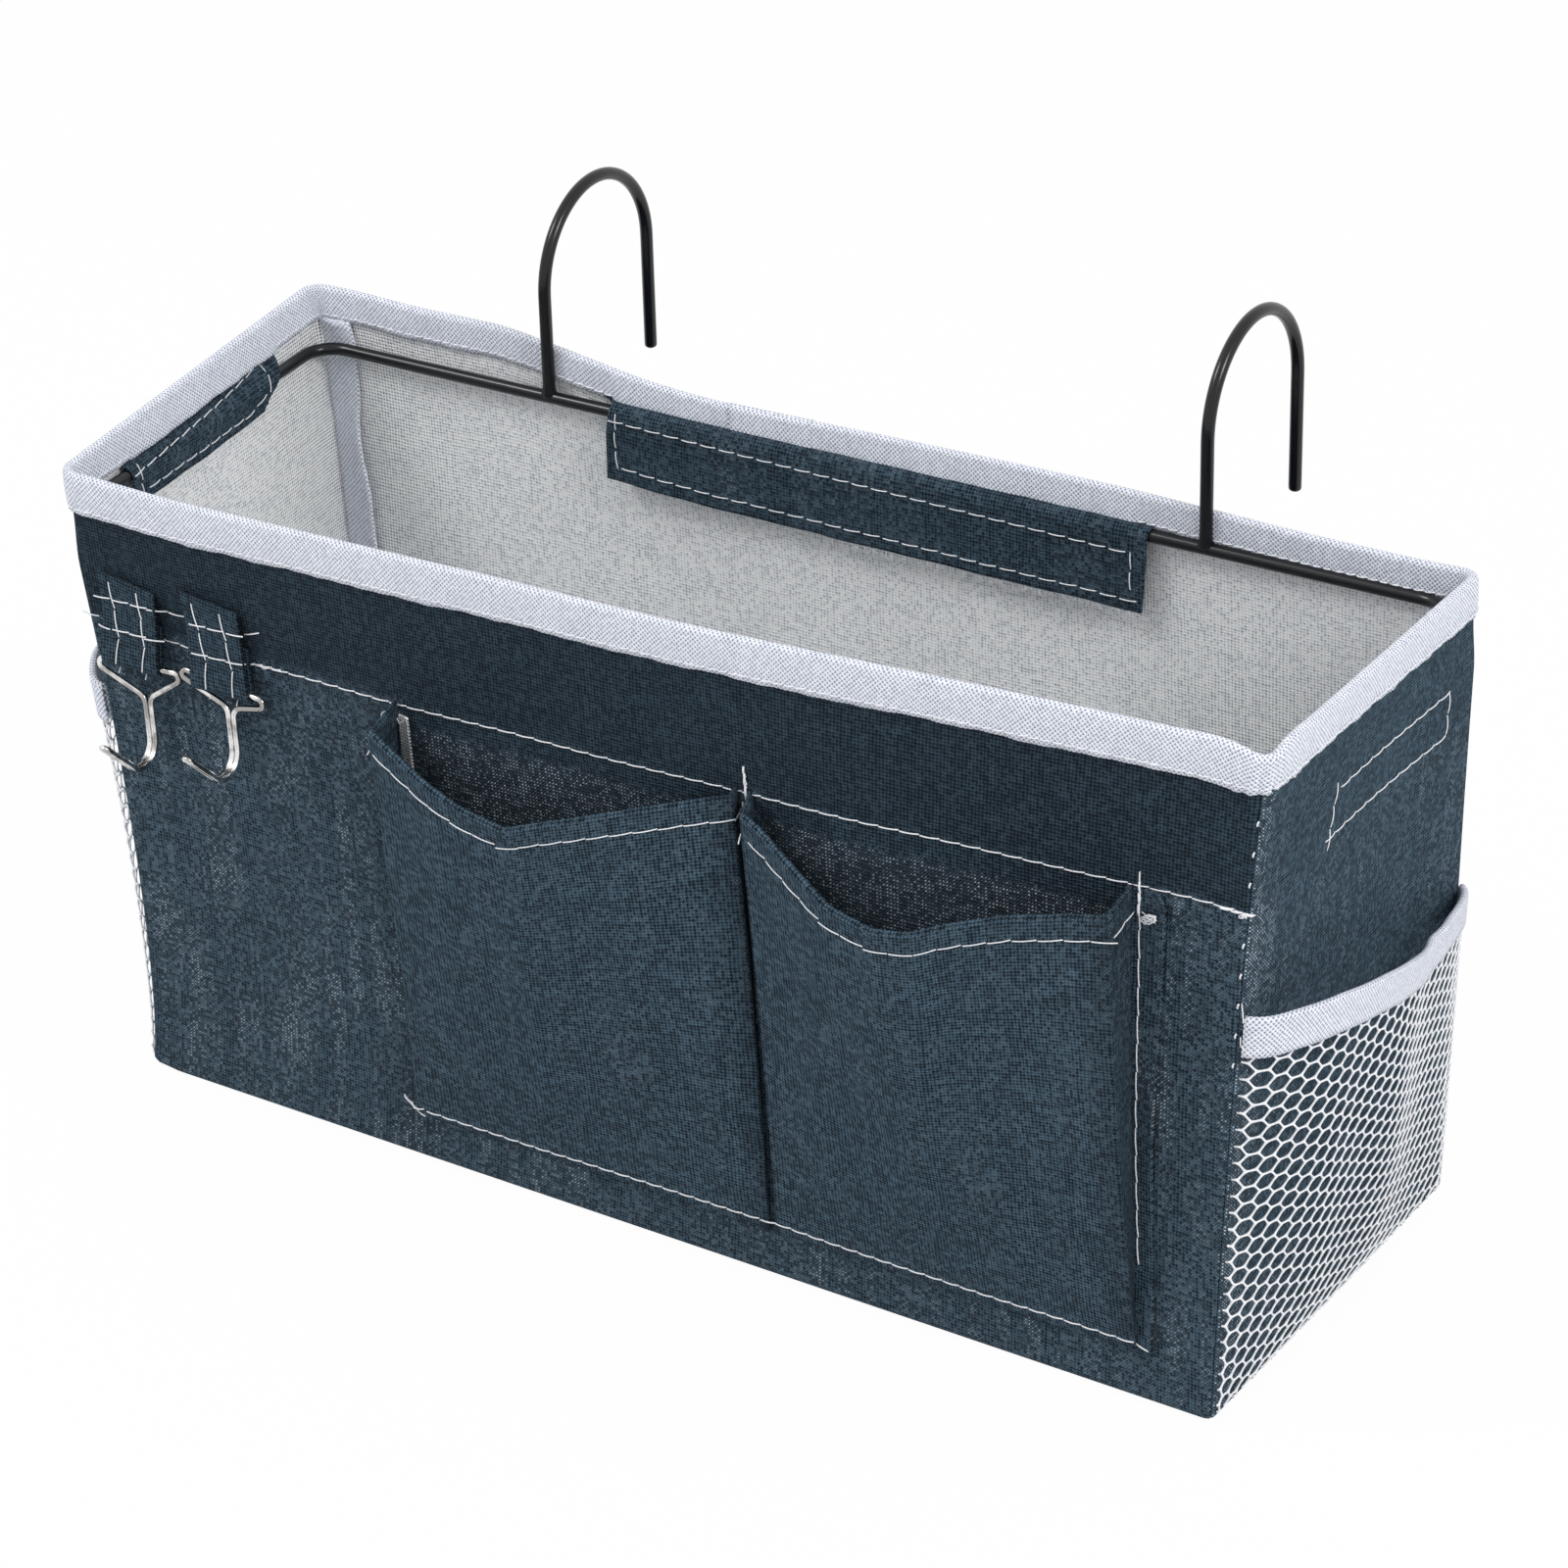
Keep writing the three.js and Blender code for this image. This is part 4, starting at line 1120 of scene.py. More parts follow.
def flap_surface(side, foot):
    """The flap's surface, by the distances along its wall and down from its root."""
    line, runs = smooth_line(flap_line(foot))
    top = np.argmax(line[:, 1])
    crest = runs[top]

    def surface(along, run):
        along, run = np.broadcast_arrays(along, run)
        out, height, hold = (np.interp(run, runs, line[:, i]) for i in range(3))
        free = eased((run - FLAP_FREE_FROM) / (runs[-1] - FLAP_FREE_FROM))
        slack = SLACK_REAR.get(side, 0) * eased((SLACK_FROM - along) / SLACK_OVER)
        height = height + slack * bump(run - crest, SLACK_REACH)
        with_ring = np.where(run < crest, hold, 1.0)
        bent = (ring_out(side, along) - RING_OUT) * with_ring
        wave = FLAP_WAVE * (2 + np.sin(along * 120 + 1) + np.sin(along * 290))
        out = out + RING_OUT + bent - free * wave
        still = straight_wall(side, along, height, out)
        hung = settle(still)
        return hung + (still - hung) * hold[..., None]

    def run_at(height):
        return np.interp(-height, -line[top:, 1], runs[top:])

    return surface, runs, run_at


frame_joints = {joint["name"]: Vector(joint["pos_m"]) for joint in frame["joints"]}


def turn_with_flap(made):
    """Bakes the piece's placement into its mesh."""
    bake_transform(made)


flap_surfaces = {}
for side, shape in FLAP_SHAPES.items():
    node = f"{side}_sleeve_flap"
    foot = min(shape["drop"]) * MM
    surface, runs, run_at = flap_surface(side, foot)
    flap_surfaces[side] = (surface, run_at)
    share = np.linspace(0, 1, 120)
    fall = runs / runs[-1]
    ends = [shape["top"][i] + (shape["foot"][i] - shape["top"][i]) * fall[:, None] for i in (0, 1)]
    grid_along = (ends[0] + (ends[1] - ends[0]) * share) * MM
    shorter = np.interp(share, (0, 1), shape["drop"]) * MM - foot
    grid_run = runs[:, None] * (1 - shorter / runs[-1])
    rows = surface(grid_along, grid_run)[:, ::-1]
    flat = np.stack([grid_along, -grid_run], -1)[:, ::-1]
    flap = cloth(
        node + "_cloth", rows, flat, FLAP, canvas, None, "navy_canvas", side_out=0, sheer=0.25, dark=0.35,
    )
    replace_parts(flap, node)
    width = (shape["top"][1] - shape["top"][0]) * MM
    turn_with_flap(flap)


# Hook and loop tapes
# Each flap closes with two navy tapes: a stiff one with rows of tiny hooks sewn behind the flap, and
# a soft looped one sewn to the wall. Both are stitched through all round.
FASTENER = 0.5 * MM
HOOK_TAPE_OUT = -4.2 * MM
TAPE_FOLLOWS_RING = 0.3
LOOP_TAPE_OUT = -2.1 * MM
TAPE_LIFT = {"back": 3 * MM, "left": 9 * MM, "right": 0}
TAPE_INSET = 6 * MM
HOOK_ROW = 1.3 * MM
NARROWEST_SHEET = 10 * MM

fastener = Finish("fastener_tape", Roughness=0.95)
place = fastener.add("ShaderNodeUVMap", {"uv_map": "flat"})[0]
nap = fastener.noise(place, 1900, 3.0)
u, v = ((way * (math.pi / HOOK_ROW)).maths("SINE") for way in fastener.split(place)[:2])
bumps = (u * v).ramp(0.1, 0.7)
fastener.colour(fastener.blend(nap * 0.6 + bumps * 0.4, (0.012, 0.018, 0.026, 1), (0.05, 0.075, 0.1, 1)))
fastener.relief(bumps * 0.7 + nap * 0.5, 0.35 * MM, 0.8)

for side in FLAP_SHAPES:
    for kind, body, out, hold in (
        ("flap_hook_tape", None, HOOK_TAPE_OUT, 0.45),
        ("wall_loop_tape", "caddy", LOOP_TAPE_OUT, 0.0),
    ):
        node = f"{side}_{kind}"
        low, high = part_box(node)
        half = (high.x - low.x if side == "back" else high.y - low.y) / 2 - TAPE_INSET
        heights = np.linspace(low.z, high.z, 10) + TAPE_LIFT[side]
        along, height = np.meshgrid(np.linspace(-half, half, 60), heights)
        bent = (ring_out(side, along) - RING_OUT) * TAPE_FOLLOWS_RING * (body is None)
        still = straight_wall(side, along, height, out + bent)
        hung = settle(still)
        rows = hung + (still - hung) * hold * (side != "left")
        flat = np.stack([along, height], -1)
        made = cloth(
            node + "_cloth", rows[::-1], flat[::-1], FASTENER, fastener, body, "fastener_tape",
        )
        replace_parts(made, node)
        if high.z - low.z > NARROWEST_SHEET:
            2 * half
        if not body:
            turn_with_flap(made)


# Strap tabs
# Each bright hook hangs in a canvas strap. The strap goes round the bar of the hook, its short tail
# is tucked under, and two upright seams and the two rows that run across both tabs hold it.
TAB = 0.8 * MM
TAB_BACK_OUT = 0.8 * MM
TAB_FRONT_OUT = (2.0 * MM, 2.8 * MM, 3.5 * MM)
TAB_PINCH = 5 * MM
TAB_TAIL = 9 * MM
TAB_SKEW = {"left": (3.6 * MM, 0.6 * MM), "right": (6.3 * MM, 0.2 * MM)}
TAB_RISE = {"left": (3.0 * MM, -1.5 * MM), "right": (4.2 * MM, -1.6 * MM)}
TAB_BAR_OUT = 2.4 * MM
HOOK_WIRE_RADIUS = 0.9 * MM


def tab_surface(side, line, top, foot, centre, width, plane):
    """The strap's surface, by the distances across it and along it, and the strap's runs."""
    fine, runs = smooth_line(line, 0.7 * MM)
    (slide, bow), (rise, tip) = TAB_SKEW[side], TAB_RISE[side]

    def surface(across, run):
        across, run = np.broadcast_arrays(across, run)
        out, height, hold = (np.interp(run, runs, fine[:, i]) for i in range(3))
        drop = (top - height) / (top - foot)
        slant = slide * drop + bow * np.sin(np.pi * drop) * 0.5
        height = height + (rise + tip * across / width * 2) * np.clip(1 - drop, 0, 1.2)
        x = centre + across * (1 - 0.04 * np.sin(np.pi * np.clip(drop, 0, 1))) + slant
        hung = settle(np.stack([x, -(HALF_DEPTH + out), height], -1))
        still = np.stack([x, -(HALF_DEPTH + plane + out), height], -1)
        return hung + (still - hung) * hold[..., None]

    return surface, runs


tab_surfaces = {}
for side in ("left", "right"):
    node = f"strap_tab_{side}"
    low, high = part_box(node)
    centre, width = (low.x + high.x) / 2, high.x - low.x
    bar_z = frame_joints[f"hook_{side}_swing"].z
    bar_out = -frame_joints[f"hook_{side}_swing"].y - HALF_DEPTH
    plane = bar_out - TAB_BAR_OUT
    eye = HOOK_WIRE_RADIUS + 0.15 * MM + TAB / 2
    turn = np.linspace(math.radians(25), -math.radians(205), 15)
    line = np.array(
        [(0.6 * MM, high.z - 1.2 * MM, 0.0), (TAB_FRONT_OUT[0], high.z, 0.0)]
        + [(TAB_FRONT_OUT[1], high.z - 9 * MM, 0.25), (TAB_FRONT_OUT[2], bar_z + TAB_PINCH, 0.85)]
        + [(TAB_BAR_OUT + eye * math.cos(a), bar_z + eye * math.sin(a), 1.0) for a in turn]
        + [(TAB_BACK_OUT, bar_z + TAB_PINCH, 0.85), (TAB_BACK_OUT, bar_z + TAB_PINCH + TAB_TAIL, 0.3)]
    )
    surface, runs = tab_surface(side, line, high.z, bar_z, centre, width, plane)
    tab_surfaces[side] = (surface, width)
    grid_across, grid_run = np.meshgrid(np.linspace(-width / 2, width / 2, 19), runs)
    rows, flat = surface(grid_across, grid_run), np.stack([grid_across, -grid_run], -1)
    made = cloth(
        node + "_cloth", rows[::-1], flat[::-1], TAB, canvas, "caddy", "navy_canvas",
        side_out=0, dark=0.6,
    )
    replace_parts(made, node)


# Bright hooks
# One doubled nickel-plated wire bent to a wide loop that sits in the tab, a neck, a twin shank and
# an open hook whose tip is the fold of the wire. Each loop has slid a little along its tab.
# For each hook: how far it has slid, half its bar, how far the bar tilts, and how high bar and hook lie
HOOK_LOOPS = {
    "left": (5.8 * MM, 14.2 * MM, -0.8 * MM, 0.0, 0.0),
    "right": (6.3 * MM, 14.0 * MM, 1.8 * MM, 1.8 * MM, 4.6 * MM),
}
HOOK_SWAY = 2.3 * MM
HOOK_LOOP_SIDE = 2.6 * MM
HOOK_NECK_DROP = 9.6 * MM
HOOK_BEND = 1.5 * MM
HOOK_STRAND = 0.95 * MM
HOOK_ELBOW = (0, 37.6 * MM, 6.4 * MM)
HOOK_TIP = (22.5 * MM, 15.6 * MM)
HOOK_WIRE_STEP = 0.7 * MM

bright = Finish("bright_wire", Metallic=1.0, Roughness=0.14)
# The noise paints deep and pale patches into the plating's colour as painted reflections, and dents and
# roughens it
marks_and_painted_reflections = bright.noise_in_space(170)
bright.colour(bright.blend(marks_and_painted_reflections.ramp(0.4, 0.6), (0.36, 0.35, 0.34, 1), (0.82, 0.81, 0.80, 1)))
bright.relief(marks_and_painted_reflections, 0.12 * MM, 0.4)
bright.feed(bright.shader.inputs["Roughness"], marks_and_painted_reflections.ramp(0.3, 0.75, 0.10, 0.26))

for side, (slid, loop_half, tilt, bar_lift, hook_lift) in HOOK_LOOPS.items():
    node = f"wire_hook_{side}"
    pivot = frame_joints[f"hook_{side}_swing"]
    low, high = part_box(node)
    centre = (low.x + high.x) / 2 + slid
    half_route = [
        (HOOK_STRAND * 0.5, 0, 0, 0, 0), (loop_half, 0, 0, HOOK_BEND, 0),
        (loop_half, 0, HOOK_LOOP_SIDE, HOOK_BEND * 0.8, 0),
        (HOOK_STRAND, 0, HOOK_NECK_DROP, HOOK_BEND * 2.4, HOOK_SWAY),
        (HOOK_STRAND, *HOOK_ELBOW, HOOK_SWAY + 1 * MM),
        (HOOK_STRAND, *HOOK_TIP, HOOK_STRAND * 0.98, HOOK_SWAY + 1 * MM),
    ]
    corners, radii = [], []
    for sign in (1, -1):
        run = half_route if sign > 0 else half_route[::-1]
        for x, out, drop, radius, sway in run:
            up = bar_lift - sign * tilt * (x == loop_half) if drop < HOOK_NECK_DROP else hook_lift
            corners.append((centre + sign * x + sway, pivot.y - out, pivot.z - drop + up))
            radii.append(radius)
    path = spaced(rounded_route(corners, radii, 10), HOOK_WIRE_STEP)
    hook = tube(
        node + "_plated", path, HOOK_WIRE_RADIUS, bright, f"hook_{side}", "bright_wire", sides=12,
    )
    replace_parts(baked(hook), node)


# Front pockets
# Two pockets of single canvas, sewn at the foot and at both sides, with more width at the lip than
# at the foot, so that they stand open. The lip is turned in and hemmed, and sags between its ends.
POCKET = 0.9 * MM
POCKET_TOP = 156.2
POCKET_FOOT = 16.5
POCKET_HEM = 6.2
POCKET_REST = 0.7
POCKET_SPREAD = 0.018
POCKET_SEAM_IN = 1.2
GUSSET_SHARE = 0.1
LIP_TURN = 0.75 * MM
SHARE_PROBE = (0.004, 0.004)
ALLOWANCE_X, ALLOWANCE_Z = (-75.2, -71.0), (132, 152.5)
ALLOWANCE_OUT, ALLOWANCE_CURL = 0.8 * MM, 1.4 * MM
# Millimetres: each side seam at its top and foot, and the lip at shares of the face, by its height
# and its distance out
POCKETS = {
    "pocket_left": {
        "left": (-75.6, -81.0), "right": (38.4, 42.2),
        "lip": (
            (0, 153.2, 14.5), (0.05, 149.8, 15.5), (0.176, 142, 17.6), (0.278, 137, 18),
            (0.4, 133.9, 18), (0.547, 140, 16.4), (0.77, 148.6, 11.8), (0.9, 153, 8), (1, 155.6, 4),
        ),
    },
    "pocket_right": {
        "left": (40.3, 43.2), "right": (157.2, 159.6),
        "lip": (
            (0, 152.6, 6.5), (0.05, 150.4, 8), (0.157, 144.2, 12), (0.276, 137.1, 15.5),
            (0.404, 134.7, 17.6), (0.504, 136.4, 18), (0.598, 141.6, 17.5), (0.756, 148.3, 16.5),
            (0.894, 152.4, 16), (1, 154.6, 15.5),
        ),
    },
}


def along_table(share, table, column, spread=POCKET_SPREAD):
    """A column of a table, read at shares of the way along and smoothed a little."""
    places, values = [row[0] for row in table], [row[column] for row in table]
    steps = np.linspace(-spread, spread, 7)
    return np.mean([np.interp(share + step, places, values) for step in steps], axis=0)


def offset_rows(surface, across, line, top, share=1.0):
    """Rows over a surface: for each height and distance off of a line, one point per place across."""
    rows = []
    for v, off in line:
        up = np.full(across.shape, min(v, top))
        facing = surface_facing(surface, across, up, SHARE_PROBE)
        rows.append(surface(across, v) + facing * off * share)
    return rows


def pocket_surface(left, right, lip):
    """The pocket's surface, by shares of its way across, gussets included, and up."""
    def surface(u, v):
        u, v = np.broadcast_arrays(np.asarray(u, float), np.asarray(v, float))
        face = np.clip((u - GUSSET_SHARE) / (1 - 2 * GUSSET_SHARE), 0, 1)
        side = np.clip(np.minimum(u, 1 - u) / GUSSET_SHARE, 0, 1)
        top = POCKET_TOP + (along_table(face, lip, 1) - POCKET_TOP) * side
        height = POCKET_FOOT + (top - POCKET_FOOT) * v
        rise = np.clip(v, 0, 1)
        ends = [seam[1] + (seam[0] - seam[1]) * v for seam in (left, right)]
        along = ends[0] + side * POCKET_SEAM_IN + (ends[1] - ends[0] - 2 * POCKET_SEAM_IN) * face
        middle = np.sin(np.pi * face)
        fine_waves = 0.8 * np.sin(11 * face + 5 * v) + 0.5 * np.sin(23 * face - 4 * v)
        waves = 1.2 + 1.3 * np.sin(5.2 * face + 2.1) + fine_waves
        belly = side * np.clip(v, 0, 1.2) ** (0.62 + 0.2 * middle)
        stand = along_table(face, lip, 2) * belly + np.sin(np.pi * rise) * middle * waves
        return on_wall("front", along * MM, height * MM, (POCKET_REST + stand) * MM)

    return surface


pocket_surfaces = {}
for node, shape in POCKETS.items():
    surface = pocket_surface(**shape)
    pocket_surfaces[node] = surface
    gusset = np.linspace(0, GUSSET_SHARE, 9)[:-1]
    middle = np.linspace(GUSSET_SHARE, 1 - GUSSET_SHARE, 96)
    across = np.concatenate([gusset, middle, 1 - gusset[::-1]])
    depth = (POCKET_TOP - POCKET_FOOT) * MM
    up = np.linspace(0, 1, 96)
    turn = np.linspace(0, np.pi, 7)[1:]
    back = np.linspace(0, POCKET_HEM * MM / depth, 6)[1:]
    lines = (
        [(v, 0.0) for v in up]
        + [(1 + LIP_TURN / depth * math.sin(t), -LIP_TURN * (1 - math.cos(t))) for t in turn]
        + [(1 - v, -2 * LIP_TURN) for v in back]
    )
    narrow = np.sin(np.pi * np.clip(across, 0, 1)) ** 0.2
    rows = offset_rows(surface, across, lines, 0.999, narrow[:, None])
    gussets = shape["lip"][0][2] + shape["lip"][-1][2]
    width = (shape["right"][0] - shape["left"][0] + gussets) * MM
    runs = distances(np.array(lines) * (depth, 1))
    face = (across - GUSSET_SHARE) / (1 - 2 * GUSSET_SHARE)
    # Painted shade on the right end of the face and the right gusset, and less on the left gusset
    shaded = 0.7 * eased((face - 0.9) / 0.12) + 0.5 * eased((0.02 - face) / 0.03)
    made = cloth(
        node + "_cloth", rows, np.stack(np.meshgrid(across * width, runs), -1), POCKET, canvas,
        "caddy", "navy_canvas", side_out=0, sheer=0.14, dark=shaded,
    )
    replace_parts(made, node)
    if node == "pocket_left":
        x, z = np.meshgrid(np.linspace(*ALLOWANCE_X, 6) * MM, np.linspace(*ALLOWANCE_Z, 24) * MM)
        curl = ALLOWANCE_CURL * ((x / MM - ALLOWANCE_X[0]) / 5.6) ** 2
        allowance = cloth(
            "pocket_left_allowance", on_wall("front", x, z, ALLOWANCE_OUT + curl),
            np.stack([x, z], -1), LINING, lining, "caddy", "pale_lining", side_out=0, sheer=1.0,
        )


# Mesh pockets
# A warp-knit net of white thread with six-sided gaps covers each end up to a slanting mouth. It is
# sewn in with the corner seams and the foot, and is wider than the wall, so it bellies out.
NET_THREAD = 0.62 * MM
NET_FOOT = 3.4 * MM
NET_MOUTH = {
    "right": (
        (0, 125.5), (0.08, 125.5), (0.2, 123.5), (0.36, 118.5), (0.6, 109), (0.7, 106.5),
        (0.8, 105.5), (1, 100),
    ),
    "left": ((0, 129), (0.1, 132), (0.25, 130), (0.4, 123), (0.6, 112), (0.8, 106), (1, 101)),
}
NET_HEIGHT = 114 * MM
NET_BULGE = 15 * MM
NET_SKEW = 0.7
NET_FULLNESS = 0.7
NET_KINK = 0.69
NET_EDGE = 1.5 * MM
NET_REST = 0.7 * MM
NET_MOUTH_REST = 2.3 * MM
NET_COLUMNS = 25
NET_ROWS = 24
NET_GUIDE = (90, 70)
NET_GATHER = 1.12
# A fold just under the mouth, and a slow wave over the whole net
NET_FOLD, NET_FOLD_WIDTH, NET_WAVE = 1.5 * MM, 0.045, 0.7 * MM

net = Finish("white_net", Roughness=0.6)
twist = net.noise_in_space(1500)
net.colour(net.blend(twist.ramp(0.3, 0.7), (0.78, 0.80, 0.86, 1), (0.98, 0.99, 1.0, 1)))
net.relief(twist, 0.1 * MM, 0.5)


def net_surface(side):
    """The net's surface, by shares of its run from front to back and of its way up to the mouth."""
    half = HALF_DEPTH - NET_EDGE
    toward_front = -1 if side == "right" else 1
    steps = np.linspace(0, 1, 400)
    bulge = NET_BULGE * np.sin(np.pi * steps ** NET_SKEW) ** NET_FULLNESS
    lengths = distances(np.stack([steps * 2 * half, bulge], -1))

    def surface(u, v):
        u, v = np.broadcast_arrays(np.asarray(u, float), np.asarray(v, float))
        u = np.interp(u, lengths / lengths[-1], steps)
        mouth = along_table(u, NET_MOUTH[side], 1) * MM
        within = np.clip(u, 0, 1)
        belly = np.interp(within, steps, bulge)
        rest = NET_REST + (NET_MOUTH_REST - NET_REST) * np.sin(np.pi * within) ** 0.4 * v
        stand = rest + belly * np.clip(v, 0, 1.1) ** 0.6
        free = np.sin(np.pi * within)
        up = np.clip(v, 0, 1)
        fold = NET_FOLD * bump(u - NET_KINK, NET_FOLD_WIDTH) * up ** 9
        fold = free * (fold + NET_WAVE * np.sin(17 * u + 3 * v) * np.sin(np.pi * up))
        height = NET_FOOT + (mouth - NET_FOOT) * v
        along = toward_front * (half - 2 * half * u)
        return on_wall(side, along, height, stand - fold)

    return surface


netting = Tree(
    "net",
    {"columns": NET_COLUMNS, "rows": NET_ROWS, "thread": NET_THREAD, "flat_share": 0.3, "sway": 0.006},
    net.material,
)


def net_vector(operation, inputs):
    return netting.add("ShaderNodeVectorMath", {"operation": operation}, inputs)[0]


columns, rows = netting.size("columns"), netting.size("rows")
pitch_u, pitch_v = 1.0 / columns, 1.0 / rows
cells = netting.add("GeometryNodeMeshGrid", {}, {
    "Size X": 1.0, "Size Y": 1.0, "Vertices X": columns + 1.0, "Vertices Y": rows + 1.0,
})[0]
spot_u = netting.split(netting.add("GeometryNodeInputPosition")[0])[0]
odd = ((spot_u + 0.5) * columns).maths("ROUND").maths("MODULO", 2.0)
shift = netting.join(0.5, odd * pitch_v * 0.5 + 0.5, 0.0)
cells = netting.add("GeometryNodeSetPosition", {}, {0: cells, "Offset": shift})[0]
flat_u, half_v = pitch_u * netting.size("flat_share"), pitch_v * 0.5
corners = (
    (flat_u * -1.0, half_v, 0.0), (flat_u, half_v, 0.0),
    (pitch_u - flat_u, 0.0, 0.0), (flat_u, half_v * -1.0, 0.0),
)
cell_side = netting.tree.nodes.new("GeometryNodeJoinGeometry")
for start, end in zip(corners, corners[1:]):
    ends = {"Start": netting.join(*start), "End": netting.join(*end)}
    part = netting.add("GeometryNodeCurvePrimitiveLine", {}, ends)[0]
    netting.tree.links.new(part, cell_side.inputs[0])
fine = netting.add("GeometryNodeSubdivideCurve", {}, {0: cell_side.outputs[0], "Cuts": 3})[0]
strands = netting.add("GeometryNodeInstanceOnPoints", {}, {0: cells, "Instance": fine})[0]
strands = netting.add("GeometryNodeRealizeInstances", {}, [strands])[0]
place = netting.add("GeometryNodeInputPosition")[0]
sway = netting.add("ShaderNodeTexNoise", {}, {"Vector": place, "Scale": 9.0, "Detail": 2.0})[1]
sway = net_vector("SUBTRACT", [sway, (0.5, 0.5, 0.5)])
sway = net_vector("SCALE", {0: sway, "Scale": netting.inputs["sway"]})
inside = net_vector("MAXIMUM", [net_vector("ADD", [place, sway]), (0.001, 0.001, 0.0)])
inside = net_vector("MINIMUM", [inside, (0.999, 0.999, 0.0)])
guide_place = netting.add("GeometryNodeInputPosition")[0]
lay = netting.add("GeometryNodeInputNamedAttribute", {"data_type": "FLOAT_VECTOR"}, ["flat"])[0]
found = netting.add("GeometryNodeSampleUVSurface", {"data_type": "FLOAT_VECTOR"}, {
    "Mesh": netting.inputs["Geometry"], "Value": guide_place, "UV Map": lay, "Sample UV": inside,
})[0]
strands = netting.add("GeometryNodeSetPosition", {}, {0: strands, "Position": found})[0]
from_middle = (netting.number("GeometryNodeSplineParameter") * 2.0 - 1.0).maths("ABSOLUTE")
swell = from_middle ** 3.0 * 0.55 + 1.0
netting.end(netting.strand(strands, netting.size("thread"), 5, Scale=swell))

net_surfaces = {}
for side in ("left", "right"):
    node = f"mesh_pocket_{side}"
    surface = net_surface(side)
    net_surfaces[side] = surface
    u, v = np.meshgrid(np.linspace(0, 1, NET_GUIDE[0] + 1), np.linspace(0, 1, NET_GUIDE[1] + 1))
    index = np.arange(u.size).reshape(u.shape)
    made = grid_piece(
        node + "_net", surface(u, v).reshape(-1, 3), index, np.stack([u, v], -1), net,
        "caddy", "white_net",
    )
    netting.grow(made)
    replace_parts(made, node)
    spread = (2 * HALF_DEPTH * NET_GATHER, NET_HEIGHT)


# Mouth bindings of the mesh pockets
# The same white tape is folded over the net's mouth edge and sewn through. The belly of the net
# holds it off the wall, except at the corners, where it runs into the seams.
MOUTH_DROP = 9.6 * MM
MOUTH_TURN = 0.9 * MM
MOUTH_GATHER = 1.1

for side in ("left", "right"):
    node = f"mesh_binding_{side}"
    surface = net_surfaces[side]
    length = NET_HEIGHT - NET_FOOT
    rise = np.linspace(0, 1, 8)
    turn = np.linspace(0, np.pi, 7)[1:-1]
    line = (
        [(1 - MOUTH_DROP / length * (1 - r), MOUTH_TURN) for r in rise]
        + [(1 + MOUTH_TURN / length * math.sin(t), MOUTH_TURN * math.cos(t)) for t in turn]
        + [(1 - MOUTH_DROP / length * r, -MOUTH_TURN) for r in rise]
    )
    across = np.linspace(0, 1, 90)
    rows = offset_rows(surface, across, line, 1.0, 1 if side == "right" else -1)
    widths = across * 2 * HALF_DEPTH * MOUTH_GATHER
    runs = distances(np.array(line) * (length, 1))
    flat = np.stack(np.meshgrid(widths, runs), -1)
    made = cloth(node + "_tape", rows, flat, TAPE * 0.8, tape, "caddy", "white_tape", side_out=0)
    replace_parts(made, node)
    sizes = (float(widths[-1]), float(runs[-1]))


# Pocket flange and visible seams
# The right edge of the second pocket ends in a narrow folded strip that lies flat on the front. The
# long rows, the pocket seams, the squares behind the fastener tapes and the hems are all sewn last.
FLANGE = (153.3 * MM, 164.3 * MM)
FLANGE_TOP = 157.0 * MM
STITCH_LIFT = 0.12 * MM
# Heights of the long rows, in millimetres, as are all places on the front that follow
ROW_TAB, ROW_LEFT, ROW_RIGHT, ROW_UPPER = 154.1, 155.2, 157.2, 165.0
# From, to and every so much up the front's right corner
CORNER_SEAM = (112, 188, 8.9)
BACK_TACK = {"pitch": 2.6 * MM, "length": 3.2 * MM, "thickness": 0.62 * MM}
FRAYED, HAIRS, HAIR_ROOT = (-90, 12), 130, 0.6 * MM
BINDING_SEAM_OUT = 0.62 * MM
BINDING_SEAM_UP = (1.6 * MM, 1.5 * MM)
# The squares of stitches behind the fastener tapes: along the wall and height, in millimetres
END_SQUARES = {
    "right": ((-20, 157.6), (50, 157.0), (50.5, 171.8), (-19, 171.4), (-21, 157.2)),
    "left": ((-34, 179), (34, 179), (34, 185), (-34, 185), (-34, 179)),
    "back": ((-90, 163.5), (90, 163.5), (90, 176.5), (-90, 176.5), (-90, 163.5)),
}


def wall_surface(side, out=0.0):
    return lambda along, height: on_wall(side, along, height, out)


def flange_surface(x, z):
    x, z = np.broadcast_arrays(np.asarray(x, float), np.asarray(z, float))
    share = (x - FLANGE[0]) / (FLANGE[1] - FLANGE[0])
    lift = 0.65 * MM + 0.5 * MM * share ** 2 * (1 + np.sin(z * 90)) + 0.7 * MM * (1 - share) ** 3
    edge = 0.7 * MM * share * np.sin(z * 47 + 1) - 1.8 * MM * share * (1 - z / FLANGE_TOP)
    corner = 2.4 * MM * eased((z - FLANGE_TOP + 4 * MM) / (4 * MM)) * np.clip(share, 0, 1) ** 3
    return on_wall("front", x + edge - corner, z, lift)


x, z = np.meshgrid(np.linspace(*FLANGE, 9), np.linspace((POCKET_FOOT - 0.5) * MM, FLANGE_TOP, 80))
flange = cloth(
    "pocket_right_flange", flange_surface(x, z), np.stack([x, z], -1), POCKET, canvas,
    "caddy", "navy_canvas", side_out=0, sheer=0.4, dark=0.2,
)

